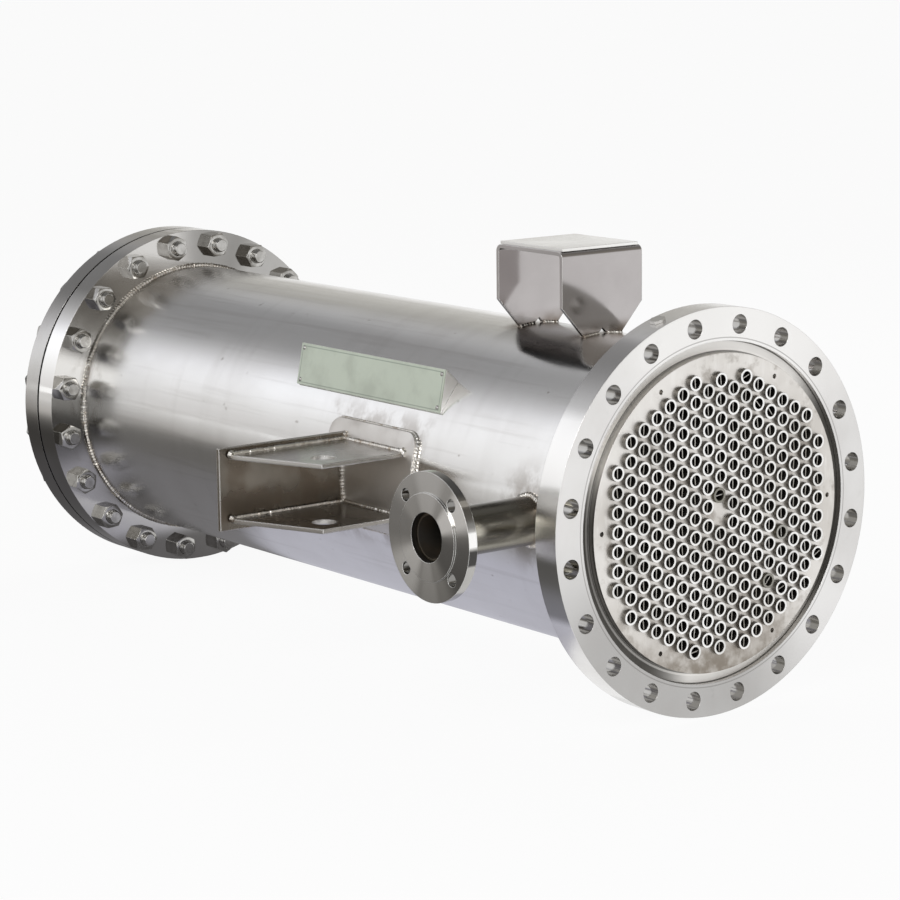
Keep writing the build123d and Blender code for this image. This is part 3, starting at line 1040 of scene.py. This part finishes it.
def dress(material: bpy.types.Material, *nodes: str) -> None:
    """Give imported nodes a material.

    Args:
        material: The material.
        nodes: Names of the nodes.
    """
    for name in nodes:
        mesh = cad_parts[name].data
        mesh.materials.clear()
        mesh.materials.append(material)
        LOG.info("node %s: %s", name, material.name)


def point_mesh(
    name: str,
    points: Sequence[Point],
    edges: Sequence[tuple[int, int]] = (),
    **values: Sequence[float],
) -> bpy.types.Mesh:
    """Make a mesh of points, loose or joined by edges, with a value on each.

    Args:
        name: Name of the mesh.
        points: The points.
        edges: Pairs of points that are joined.
        values: Named lists, one number for each point.

    Returns:
        The mesh.
    """
    mesh = bpy.data.meshes.new(name)
    mesh.from_pydata(points, list(edges), [])
    for key, numbers in values.items():
        mesh.attributes.new(key, "FLOAT", "POINT").data.foreach_set("value", list(numbers))
    return mesh


def around(count: int) -> list[float]:
    """Return angles at even steps round a circle."""
    return [math.tau * k / count for k in range(count)]


def spread(start: float, rise: float, steps: int) -> list[float]:
    """Return places at even steps from a start to its whole rise."""
    return [start + rise * k / steps for k in range(steps + 1)]


def out_at(radius: float, level: float) -> float:
    """Return how far out a round of this radius stands at a level."""
    return math.sqrt(radius ** 2 - level ** 2)


@dataclass
class TubeBundle:
    """Round tubes on a triangular pitch through the tubesheet, with a twisted tape in each."""

    finishes: Finishes
    pitch: float = 0.02381
    columns: int = 8
    field_share: float = 57.0
    radius: float = 0.009525
    wall: float = 0.0028
    sides: int = 20
    front: float = 0.008
    rear: float = -1.219
    uneven: float = 0.0007
    tape_setback: float = 0.0015
    tape_thickness: float = 0.0012
    tape_width: float = 0.01265
    tape_steps: int = 13
    tape_lean: float = 14.0
    twist: float = 26.0
    twist_depth: float = 0.16
    faint_stain: float = 0.22
    seed: int = 11
    # Ends that stand out from the rest, by column and level
    leaning: dict[tuple[int, float], float] = field(
        default_factory=lambda: {
            (2, 7.0): -68.0, (8, -3.0): -62.0, (5, -4.5): -70.0, (-2, -7.0): -80.0,
            (3, 5.5): 42.0, (4, 5.0): 36.0, (4, -4.0): -40.0, (0, 1.0): -84.0,
        }
    )
    stained: dict[tuple[int, float], float] = field(
        default_factory=lambda: {
            (0, 1.0): 0.85, (4, -4.0): 0.8, (-7, -1.5): 0.55, (5, -1.5): 0.7, (1, 0.5): 0.3,
        }
    )
    sunk: dict[tuple[int, float], float] = field(
        default_factory=lambda: {(0, 1.0): 0.002, (4, -4.0): 0.0015}
    )

    def places(self) -> list[tuple[int, float]]:
        """Find the place of each tube.

        Returns:
            Each tube's column and its level in pitches.
        """
        found = []
        for column in range(-self.columns, self.columns + 1):
            shift = 0.5 * (column % 2)
            for row in range(-2 * self.columns, 2 * self.columns):
                level = row + shift
                inside = 0.75 * column * column + level * level <= self.field_share
                blank = column == 0 and level == 0
                dropped = abs(column) == 1 and abs(level) > self.columns - 1
                if inside and not blank and not dropped:
                    found.append((column, level))
        return found

    def seed_points(self, setback: float) -> bpy.types.Mesh:
        """Return the tube ends as points, with each tape's turn and each end's stain.

        Args:
            setback: Distance behind the tube ends.

        Returns:
            A mesh of points.
        """
        chance = random.Random(self.seed)
        points, turns, stains = [], [], []
        for place in self.places():
            column, level = place
            proud = self.uneven * (chance.random() - 0.5) - self.sunk.get(place, 0.0)
            across = column * math.sqrt(0.75) * self.pitch
            points.append((self.front - setback + proud, across, level * self.pitch))
            lean = self.leaning.get(place, self.tape_lean * (chance.random() - 0.5))
            turns.append(math.radians(lean))
            stains.append(self.stained.get(place, self.faint_stain * chance.random() ** 3))
        return point_mesh("tube_places", points, turn=turns, stain=stains)

    def build_tubes(self) -> None:
        """Grow the tubes."""
        tree = Pattern("tube_pattern")
        radius, wall = tree.size("Radius", self.radius), tree.size("Wall", self.wall)
        length = tree.size("Length", self.front - self.rear)
        sides = tree.size("Sides", self.sides, "Int")
        ring = {"Resolution": sides, "Radius": radius - wall * 0.5}
        path = tree.node("GeometryNodeCurvePrimitiveCircle", ring)
        slot = {"Width": wall, "Height": length}
        section = tree.node("GeometryNodeCurvePrimitiveQuadrilateral", slot)
        swept = {"Curve": path, "Profile Curve": section}
        laid = tree.node("GeometryNodeTransform", {
            "Geometry": tree.node("GeometryNodeCurveToMesh", swept),
            "Translation": tree.join(length * -0.5, 0.0, 0.0),
            "Rotation": (0.0, math.pi / 2, 0.0),
        })
        placed = tree.scatter(tree.start(), laid)
        piece = tree.grow("tube_field", self.seed_points(0.0), placed, self.finishes["tube"])
        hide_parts("tubes")

    def build_tapes(self) -> None:
        """Grow the tapes, each twisted down its tube."""
        tree = Pattern("tape_pattern")
        thickness = tree.size("Thickness", self.tape_thickness)
        width = tree.size("Width", self.tape_width)
        length = tree.size("Length", self.front - self.rear - 2 * self.tape_setback)
        twist, reach = tree.size("Twist", self.twist), tree.size("Twist Reach", self.twist_depth)
        steps = tree.size("Steps", self.tape_steps, "Int")
        block = {"Size": tree.join(1.0, thickness, width), "Vertices X": steps}
        strip = tree.node("GeometryNodeMeshCube", block)
        x, y, z = tree.split(tree.node("GeometryNodeInputPosition"))
        # The steps crowd towards the open end, where the twist shows
        depth = length * (0.5 - x) ** 3.0
        wound = {"Vector": tree.join(depth * -1.0, y, z), "Angle": depth.at_most(reach) * twist}
        turned = tree.node("ShaderNodeVectorRotate", wound, rotation_type="X_AXIS")
        twisted = tree.node("GeometryNodeSetPosition", {"Geometry": strip, "Position": turned})
        spin = tree.turn(tree.named("turn"), 0.0, 0.0)
        placed = tree.scatter(tree.start(), twisted, Rotation=spin)
        seed_mesh = self.seed_points(self.tape_setback)
        piece = tree.grow("tube_tapes", seed_mesh, placed, self.finishes["tape"])
        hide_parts("tube_inserts")

    def build(self) -> None:
        """Build the bundle and dress its tubesheet."""
        dress(self.finishes["sheet"], "front_tubesheet")
        self.build_tubes()
        self.build_tapes()


def lathe(work: bmesh.types.BMesh, rings: Sequence[Sequence[Point]]) -> None:
    """Join rings of points by quads, and close the last ring at its middle.

    Args:
        work: Mesh to add to.
        rings: Rings of equally many points, in order along the axis.
    """
    loops = [[work.verts.new(point) for point in ring] for ring in rings]
    count = len(rings[0])
    for first, second in zip(loops, loops[1:]):
        for k in range(count):
            after = (k + 1) % count
            work.faces.new((first[k], first[after], second[after], second[k]))
    middle = sum((Vector(point) for point in rings[-1]), Vector()) / count
    tip = work.verts.new(middle)
    for k in range(count):
        work.faces.new((loops[-1][k], loops[-1][(k + 1) % count], tip))


@dataclass
class BoltRing:
    """Studs and hexagon nuts on one bolt circle, their tips towards +X or -X."""

    finishes: Finishes
    name: str
    seat: float
    towards: float
    count: int = 20
    circle: float = 0.234
    across_flats: float = 0.0330
    height: float = 0.0170
    chamfer: float = math.radians(30.0)
    stud_radius: float = 0.0099
    stud_tip: float = 0.0262
    thread_pitch: float = 0.0025
    thread_depth: float = 0.0009
    samples: int = 36
    seed: int = 5

    def nut_mesh(self) -> bpy.types.Mesh:
        """Return one nut with its chamfer and the stud end that stands out of it.

        Returns:
            A mesh with its seat at the origin and its axis along X.
        """
        half = self.across_flats / 2
        top = half * 0.95
        angles = around(self.samples)
        sixth = math.pi / 3
        hexagon = [half / math.cos((angle + sixth / 2) % sixth - sixth / 2) for angle in angles]
        slope = math.tan(self.chamfer)

        def ring(radii: Sequence[float], places: Sequence[float]) -> list[Point]:
            """Return one ring of points from a radius and a place for each angle."""
            turned = zip(places, radii, angles)
            return [(x, r * math.sin(a), r * math.cos(a)) for x, r, a in turned]

        def even(radius: float, place: float) -> list[Point]:
            """Return a round ring."""
            return ring([radius] * self.samples, [place] * self.samples)

        rings = [
            ring(hexagon, [0.0] * self.samples),
            ring(hexagon, [self.height - (r - top) * slope for r in hexagon]),
            even(top, self.height),
            even(self.stud_radius + 0.0013, self.height),
            even(self.stud_radius - 0.0004, self.height - 0.0014),
        ]
        place = self.height - 0.0008
        while place + self.thread_pitch < self.stud_tip - 0.0030:
            for share, depth in ((0.3, 0.0), (0.55, 0.0), (1.0, self.thread_depth)):
                rings.append(even(self.stud_radius - depth, place + share * self.thread_pitch))
            place += self.thread_pitch
        for share, drop in ((1.0, 0.0026), (0.99, 0.0016), (0.84, 0.0), (0.4, 0.0)):
            rings.append(even(self.stud_radius * share, self.stud_tip - drop))
        work = bmesh.new()
        lathe(work, rings)
        bmesh.ops.recalc_face_normals(work, faces=work.faces)
        mesh = bpy.data.meshes.new(self.name + "_nut")
        work.to_mesh(mesh)
        work.free()
        return mesh

    def build(self) -> None:
        """Grow the ring of nuts."""
        model = bpy.data.objects.new(self.name + "_model", self.nut_mesh())
        bpy.context.scene.collection.objects.link(model)
        tree = Pattern(self.name + "_pattern")
        count, circle = tree.size("Count", self.count, "Int"), tree.size("Bolt Circle", self.circle)
        seat, seed = tree.size("Seat", self.seat), tree.size("Seed", self.seed, "Int")
        shape = tree.size("Nut", model, "Object")
        angle = (tree.node("GeometryNodeInputIndex") + 0.5) * math.tau / count
        spot = tree.join(seat, circle * angle.sine(), circle * angle.cosine())
        points = tree.node("GeometryNodePoints", {"Count": count, "Position": spot})
        nut = tree.node("GeometryNodeObjectInfo", {"Object": shape}, "Geometry")
        limits = {"Min_001": 0.0, "Max_001": math.tau, "Seed": seed}
        chance = tree.node("FunctionNodeRandomValue", limits, "Value_001", data_type="FLOAT")
        spin = tree.turn(chance, 0.0, 0.0 if self.towards > 0 else math.pi)
        placed = tree.scatter(points, nut, Rotation=spin)
        seed_mesh = point_mesh(self.name + "_start", [])
        piece = tree.grow(self.name, seed_mesh, placed, self.finishes["nut"])
        bpy.data.objects.remove(model)


@dataclass
class Ends:
    """The two end flanges, the gasket, the cover and their bolting."""

    finishes: Finishes
    cover_back: float = -1.259
    cover_nut: float = 0.0115
    cover_tip: float = 0.0135

    def build(self) -> None:
        """Dress the flanges and bolt up the rear end."""
        dress(self.finishes["flange"], "front_flange")
        dress(self.finishes["rear_flange"], "vent_plug", "rear_flange")
        dress(self.finishes["cover"], "rear_cover")
        dress(self.finishes["gasket"], "rear_gasket")
        BoltRing(self.finishes, "rear_nuts", REAR_FACE, 1.0).build()
        low = {"height": self.cover_nut, "stud_tip": self.cover_tip}
        BoltRing(self.finishes, "cover_nuts", self.cover_back, -1.0, seed=8, **low).build()


@dataclass
class WeldRun:
    """One run of weld metal along a path, thinner above a level if it has one."""

    points: Sequence[Point]
    size: float
    closed: bool = False
    thin_above: float = math.inf
    thin_share: float = 0.45


@dataclass
class Welds:
    """The weld beads of the shell, nozzles, lugs and stool."""

    finishes: Finishes
    shell: float = 0.2005
    shell_seams: Sequence[float] = (-1.1800, -0.0390)
    shell_bead: float = 0.0042
    pipe: float = 0.03015
    pipe_bead: float = 0.0046
    nozzle_reach: float = 0.341
    nozzle_bead: float = 0.0032
    pad: float = 0.2067
    pad_corner: float = 0.020
    pad_bead: float = 0.0036
    lug_front: float = -0.371
    gusset_tops: tuple[float, float] = (0.04875, -0.03475)
    gusset_reach: float = 0.380
    back_bead: float = 0.0038
    gusset_bead: float = 0.0034
    tip_bead: float = 0.0042
    blob: float = 0.0052
    stool_faces: Sequence[float] = (-0.348, -0.343, -0.220, -0.215)
    stool_foot: float = 0.031
    stool_notch: float = 0.0075
    stool_bead: float = 0.0026
    ripple: float = 0.0046
    step: float = 0.0012
    seed: float = 3.0

    def shell_rings(self) -> list[WeldRun]:
        """Lay the beads between the shell and its two flanges.

        Returns:
            The runs of weld.
        """
        runs = []
        for x in self.shell_seams:
            ring = [(x, self.shell * math.sin(a), self.shell * math.cos(a)) for a in around(180)]
            runs.append(WeldRun(ring, self.shell_bead, True))
        return runs

    def nozzle_rings(self) -> list[WeldRun]:
        """Lay the beads where each nozzle pipe meets the shell and its flange.

        Returns:
            The runs of weld.
        """
        runs = []
        for side, x in NOZZLES.items():
            at_shell, at_flange = [], []
            for a in around(48):
                across, up = self.pipe * math.cos(a), self.pipe * math.sin(a)
                at_shell.append((x + across, side.value * out_at(self.shell, up), up))
                at_flange.append((x + across, side.value * self.nozzle_reach, up))
            runs.append(WeldRun(at_shell, self.pipe_bead, True))
            runs.append(WeldRun(at_flange, self.nozzle_bead, True))
        return runs

    def pad_edge(self, side: Side) -> WeldRun:
        """Return the bead round a lug's pad, thin along its top.

        Args:
            side: Side of the shell.

        Returns:
            The closed run, laid on the shell.
        """
        low_x, high_x, low_z, high_z = LUG_PAD
        r = self.pad_corner
        left, right, low, high = low_x + r, high_x - r, low_z + r, high_z - r
        flat = []
        corners = ((right, high, 0), (left, high, 90), (left, low, 180), (right, low, 270))
        for x, z, start in corners:
            for angle in spread(start, 90.0, 6):
                a = math.radians(angle)
                flat.append((x + r * math.cos(a), z + r * math.sin(a)))
        points = []
        for (x0, z0), (x1, z1) in zip(flat, flat[1:] + flat[:1]):
            steps = max(1, round(math.hypot(x1 - x0, z1 - z0) / 0.012))
            for k in range(steps):
                x, z = x0 + (x1 - x0) * k / steps, z0 + (z1 - z0) * k / steps
                points.append((x, side.value * out_at(self.shell + 0.001, z), z))
        return WeldRun(points, self.pad_bead, True, high_z - 0.006)

    def lug_runs(self, side: Side) -> list[WeldRun]:
        """Return a lug's beads: pad edge, gussets to back and pad, their tips, and back to pad.

        Args:
            side: Side of the shell.

        Returns:
            The runs of weld.
        """

        def laid(size: float, *points: Point) -> WeldRun:
            """Return an open run on this side of the shell."""
            return WeldRun([(x, side.value * y, z) for x, y, z in points], size)

        runs = [self.pad_edge(side)]
        rear, front, reach = LUG_REAR + 0.001, self.lug_front, self.gusset_reach
        for top in self.gusset_tops:
            level = top + 0.0006
            wall = out_at(self.pad, level)
            runs += [
                laid(self.back_bead, (rear, wall, level), (rear, reach, level)),
                laid(self.gusset_bead, (LUG_REAR, wall, level), (front, wall, level)),
                laid(self.blob, (rear, reach, level), (rear + 0.004, reach - 0.001, level - 0.001)),
                laid(self.blob, (front - 0.004, wall, level), (front + 0.003, wall, level - 0.003)),
            ]
        high, low = self.gusset_tops
        for size, heights in (
            (self.back_bead, spread(low, high - 0.006 - low, 8)),
            (self.tip_bead, spread(high, 0.010, 3)),
        ):
            runs.append(laid(size, *((rear, out_at(self.pad, z), z) for z in heights)))
        return runs

    def stool_runs(self) -> list[WeldRun]:
        """Lay the beads at the stool's feet, broken at each notch.

        Returns:
            The runs of weld.
        """
        runs = []
        steps = spread(self.stool_notch, self.stool_foot - self.stool_notch, 6)
        for x in self.stool_faces:
            for side in Side:
                points = [(x, side.value * y, out_at(self.shell, y)) for y in steps]
                runs.append(WeldRun(points, self.stool_bead))
        return runs

    def build(self) -> None:
        """Grow every bead along its path, rippled and a little uneven."""
        runs = self.shell_rings() + self.nozzle_rings() + self.stool_runs()
        for side in Side:
            runs += self.lug_runs(side)
        points, edges, sizes = [], [], []
        for run in runs:
            first = len(points)
            points += list(run.points)
            for _, _, z in run.points:
                sizes.append(run.size * (run.thin_share if z > run.thin_above else 1.0))
            edges += [(k, k + 1) for k in range(first, len(points) - 1)]
            if run.closed:
                edges.append((len(points) - 1, first))
        seed_mesh = point_mesh("weld_paths", points, edges, bead=sizes)
        tree = Pattern("weld_pattern")
        ripple, step = tree.size("Ripple", self.ripple), tree.size("Step", self.step)
        seed = tree.size("Seed", self.seed)
        curve = tree.node("GeometryNodeMeshToCurve", {"Mesh": tree.start()})
        spaced = {"Curve": curve, "Length": step}
        fine = tree.node("GeometryNodeResampleCurve", spaced, mode="LENGTH")
        run_length = tree.node("GeometryNodeSplineParameter", out="Length")
        place = tree.node("GeometryNodeInputPosition")
        grain = {"Vector": place, "W": seed, "Scale": 160.0, "Detail": 1.0}
        rough = tree.node("ShaderNodeTexNoise", grain, noise_dimensions="4D")
        scallop = (1.0 - (run_length / ripple).fraction()) ** 0.6
        radius = tree.named("bead") * (0.66 + 0.50 * scallop + 0.6 * (rough - 0.5))
        ring = tree.node("GeometryNodeCurvePrimitiveCircle", {"Resolution": 8, "Radius": 1.0})
        swept = {"Curve": fine, "Profile Curve": ring, "Scale": radius, "Fill Caps": True}
        tube = tree.node("GeometryNodeCurveToMesh", swept)
        piece = tree.grow("weld_beads", seed_mesh, tube, self.finishes["weld"])


@dataclass
class Fittings:
    """The shell, nozzles, lugs and stool, dressed as plate and pipe."""

    finishes: Finishes

    def build(self) -> None:
        """Dress the nodes."""
        for finish, *nodes in (
            ("barrel", "shell"),
            ("pipe", "inlet_pipe", "outlet_pipe"),
            ("near_nozzle", "inlet_flange"),
            ("far_nozzle", "outlet_flange"),
            ("lug_back", "near_lug_back", "far_lug_back"),
            ("lug", "near_lug_bottom_gusset", "far_lug_bottom_gusset"),
            ("gusset", "near_lug_top_gusset", "far_lug_top_gusset"),
            ("pad", "near_lug_pad", "far_lug_pad"),
            ("stool", "stool_channel"),
            ("stool_top", "stool_pad"),
        ):
            dress(self.finishes[finish], *nodes)


@dataclass
class Nameplate:
    """The bare plate on its holder, with a rivet at each corner."""

    finishes: Finishes
    rear: float = -0.648
    front: float = -0.328
    height: float = 0.056
    thickness: float = 0.0015
    low: tuple[float, float] = (-0.1744, 0.1019)
    lean: float = math.radians(11.2)
    inset: float = 0.0065
    rivet_radius: float = 0.0030
    rivet_height: float = 0.0016

    def build(self) -> None:
        """Dress the plate and set its rivets."""
        dress(self.finishes["plate"], "nameplate")
        dress(self.finishes["holder"], "nameplate_holder")
        out = Vector((0.0, -math.cos(self.lean), math.sin(self.lean)))
        up = Vector((0.0, math.sin(self.lean), math.cos(self.lean)))
        base = Vector((0.0, *self.low)) + out * self.thickness
        spots = []
        for x in (self.rear + self.inset, self.front - self.inset):
            for share in (self.inset, self.height - self.inset):
                spots.append(tuple(base + up * share + Vector((x, 0.0, 0.0))))
        tree = Pattern("rivet_pattern")
        radius = tree.size("Radius", self.rivet_radius)
        height = tree.size("Height", self.rivet_height)
        round_head = {"Segments": 16, "Rings": 8, "Radius": 1.0}
        ball = tree.node("GeometryNodeMeshUVSphere", round_head)
        spin = tree.turn(math.pi / 2 - self.lean, 0.0, 0.0)
        size = tree.join(radius, radius, height)
        placed = tree.scatter(tree.start(), ball, Rotation=spin, Scale=size)
        seed_mesh = point_mesh("rivet_places", spots)
        piece = tree.grow("plate_rivets", seed_mesh, placed, self.finishes["nut"])


@dataclass(frozen=True)
class Lamp:
    """A square soft lamp that looks at the middle of the shell, mirrored by the steel or not."""

    name: str
    place: Point
    size: float
    watts: float
    mirrored: bool = True
    target: Point = (-0.5, 0.0, 0.0)

    def hang(self) -> None:
        """Hang the lamp in its place."""
        data = bpy.data.lights.new(self.name, "AREA")
        data.shape, data.size, data.energy = "SQUARE", self.size, self.watts
        lamp = bpy.data.objects.new(self.name, data)
        lamp.location = self.place
        lamp.visible_glossy = self.mirrored
        lamp.rotation_mode = "QUATERNION"
        way = Vector(self.target) - Vector(self.place)
        lamp.rotation_quaternion = way.to_track_quat("-Z", "Y")
        bpy.context.scene.collection.objects.link(lamp)


# Tones of the set that the steel mirrors: the card by its depth, its dark band a painted shadow of
# the object on the floor, and the walls by their height
CARD_TONES: Stops = (
    (0.0, (0.80, 0.80, 0.82)), (0.1, (0.50, 0.50, 0.56)), (0.25, (0.45, 0.45, 0.515)),
    (0.29, (0.40, 0.40, 0.44)), (0.325, (0.22, 0.215, 0.21)), (0.425, (0.20, 0.195, 0.185)),
    (0.525, (0.28, 0.27, 0.255)), (0.65, (0.42, 0.405, 0.39)), (0.9, (0.52, 0.51, 0.50)),
    (1.0, (0.60, 0.59, 0.58)),
)
NEAR_TONES: Stops = (
    (0.49, (0.52, 0.51, 0.50)), (0.515, (0.55, 0.54, 0.53)), (0.545, (0.61, 0.60, 0.59)),
    (0.585, (0.72, 0.71, 0.71)), (0.625, (0.83, 0.83, 0.83)), (0.665, (0.95, 0.955, 0.975)),
    (0.70, (1.03, 1.04, 1.075)), (0.73, (1.0, 1.01, 1.05)), (0.755, (0.85, 0.855, 0.895)),
    (0.775, (0.62, 0.62, 0.64)), (0.793, (0.43, 0.43, 0.44)), (0.81, (0.28, 0.28, 0.285)),
    (0.88, (0.22, 0.22, 0.22)), (1.0, (0.32, 0.32, 0.32)),
)
FAR_TONES: Stops = (
    (0.5, (0.97, 0.97, 0.96)), (0.58, (0.78, 0.77, 0.75)), (0.657, (0.62, 0.61, 0.585)),
    (0.722, (0.46, 0.455, 0.44)), (0.765, (0.38, 0.375, 0.37)), (0.80, (0.29, 0.29, 0.29)),
    (1.0, (0.32, 0.32, 0.32)),
)
RIGHT_TONES: Stops = (
    (0.5, (0.96, 0.96, 0.96)), (0.60, (0.86, 0.855, 0.85)), (0.63, (0.36, 0.34, 0.31)),
    (0.80, (0.24, 0.225, 0.20)), (0.84, (0.13, 0.125, 0.11)), (1.0, (0.32, 0.32, 0.32)),
)


@dataclass
class Studio:
    """The white set: floor, toned card, soft world, lamps and camera."""

    floor_level: float = -0.2556
    floor_size: float = 60.0
    floor_white: Colour = (0.92, 0.92, 0.93)
    floor_glow: float = 0.93
    card: Box = (-7.0, -0.15, -7.0, 0.2)
    card_shadow: Colour = (0.12, 0.115, 0.11)
    front_glow: Colour = (1.05, 1.055, 1.07)
    stripe: Colour = (0.36, 0.345, 0.31)
    stripe_rate: float = 84.0
    backdrop: Colour = (0.98, 0.98, 0.98)
    lamps: Sequence[Lamp] = (
        Lamp("key_lamp", (1.6, -2.6, 2.4), 1.8, 42.0),
        Lamp("fill_lamp", (-1.2, 2.4, 2.6), 2.2, 26.0, False),
    )
    camera_place: Point = (2.6090, -2.3942, 0.7311)
    azimuth: float = math.radians(52.735)
    elevation: float = math.radians(10.415)
    roll: float = math.radians(-0.635)
    lens: float = 117.54
    sensor: float = 36.0

    def _plane(self, name: str, box: Box, level: float) -> bpy.types.Object:
        """Return a flat stage piece over a box in X and Y.

        Args:
            name: Name of the piece.
            box: Its reach.
            level: Its height.

        Returns:
            The piece, without a material.
        """
        low_x, high_x, low_y, high_y = box
        mesh = bpy.data.meshes.new(name)
        corners = ((low_x, low_y), (high_x, low_y), (high_x, high_y), (low_x, high_y))
        mesh.from_pydata([(x, y, level) for x, y in corners], [], [(0, 1, 2, 3)])
        piece = bpy.data.objects.new(name, mesh)
        bpy.context.scene.collection.objects.link(piece)
        return piece

    def lay_floor(self) -> None:
        """Lay a white floor that keeps a faint shadow of the object."""
        half = self.floor_size / 2
        floor = self._plane("studio_floor", (-half, half, -half, half), self.floor_level)
        paint = Paint("white_floor")
        path = paint.node("ShaderNodeLightPath", out="Is Camera Ray")
        rays = path.socket.node.outputs
        seen = path.at_least(Wire(paint, rays["Is Glossy Ray"]))
        seen = seen.at_least(Wire(paint, rays["Is Transmission Ray"]))
        matt = paint.node("ShaderNodeBsdfDiffuse", {"Color": self.floor_white})
        glow = paint.node("ShaderNodeEmission", {"Color": (1.0, 1.0, 1.0), "Strength": 1.0})
        mix = {"Fac": seen * self.floor_glow, 1: matt, 2: glow}
        floor.data.materials.append(paint.end(paint.node("ShaderNodeMixShader", mix)))

    def lay_card(self) -> None:
        """Lay the toned card on the floor that only the steel mirrors, a painted shadow of the
        object on the floor.
        """
        card = self._plane("near_card", self.card, self.floor_level + 0.001)
        card.visible_camera = card.visible_diffuse = card.visible_shadow = False
        paint = Paint("floor_shadow_card")
        x, y, _ = paint.split(paint.place())
        # The card's tones paint the floor's shade near the object, as the steel mirrors it
        colour = paint.ramp((self.card[3] - y) * 0.5, CARD_TONES)
        # Darker behind the rear end, where the white paper ends and the rear flange's shadow falls
        behind = x.smooth(-0.92, -1.04) * y.smooth(-1.0, -0.7) * 0.85
        colour = paint.blend(behind, colour, self.card_shadow)
        glow = paint.node("ShaderNodeEmission", {"Color": colour, "Strength": 1.0})
        card.data.materials.append(paint.end(glow))

    def light_world(self) -> None:
        """Set a soft studio round the object: bright at eye level, dark above, plain when seen."""
        world = bpy.data.worlds.new("studio")
        world.use_nodes = True
        world.node_tree.nodes.clear()
        bpy.context.scene.world = world
        bench = Bench(world.node_tree)
        x, y, z = bench.split(bench.node("ShaderNodeTexCoord", out="Generated"))
        height = z * 0.5 + 0.5 + (-0.78 - x.at_least(-0.9).at_most(-0.7)) * 0.9
        front = x.smooth(-0.795, -0.745) * height.smooth(0.76, 0.70) * 0.95
        near = bench.blend(front, bench.ramp(height, NEAR_TONES), self.front_glow)
        wave = (z * self.stripe_rate).sine() * 0.5 + 0.5
        stripes = wave.smooth(0.35, 0.65) * z.smooth(0.08, 0.16) * z.smooth(0.50, 0.42)
        far = bench.blend(stripes * 0.8, bench.ramp(height, FAR_TONES), self.stripe)
        left = bench.blend(y.smooth(0.12, 0.42), near, far)
        colour = bench.blend(x.smooth(0.0, 0.3), left, bench.ramp(height, RIGHT_TONES))
        seen = bench.node("ShaderNodeLightPath", out="Is Camera Ray")
        colour = bench.blend(seen, colour, self.backdrop)
        sky = bench.node("ShaderNodeBackground", {"Color": colour, "Strength": 1.0})
        bench.node("ShaderNodeOutputWorld", {"Surface": sky})

    def set_camera(self) -> None:
        """Set the camera at the photograph's angle."""
        level, rise = math.cos(self.elevation), math.sin(self.elevation)
        back = Vector((math.sin(self.azimuth) * level, -math.cos(self.azimuth) * level, rise))
        right = Vector((0.0, 0.0, 1.0)).cross(back).normalized()
        up = back.cross(right)
        across = math.cos(self.roll) * right + math.sin(self.roll) * up
        upright = math.cos(self.roll) * up - math.sin(self.roll) * right
        data = bpy.data.cameras.new("photo_camera")
        data.lens, data.sensor_width = self.lens, self.sensor
        data.clip_end = 200.0
        camera = bpy.data.objects.new("photo_camera", data)
        turned = Matrix((across, upright, back)).transposed().to_4x4()
        camera.matrix_world = Matrix.Translation(self.camera_place) @ turned
        bpy.context.scene.collection.objects.link(camera)
        bpy.context.scene.camera = camera

    def build(self) -> None:
        """Build the set."""
        self.lay_floor()
        self.lay_card()
        self.light_world()
        for lamp in self.lamps:
            lamp.hang()
        self.set_camera()
        bpy.context.scene.view_settings.view_transform = "Standard"


def main() -> None:
    """Build every sub-assembly in order, then the set."""
    logging.basicConfig(level=logging.INFO, format="%(name)s: %(message)s")
    finishes = Finishes()
    for part in (
        Fittings(finishes),
        Ends(finishes),
        TubeBundle(finishes),
        Welds(finishes),
        Nameplate(finishes),
        Studio(),
    ):
        part.build()
        LOG.info("built %s", type(part).__name__)


if __name__ == "__main__":
    main()
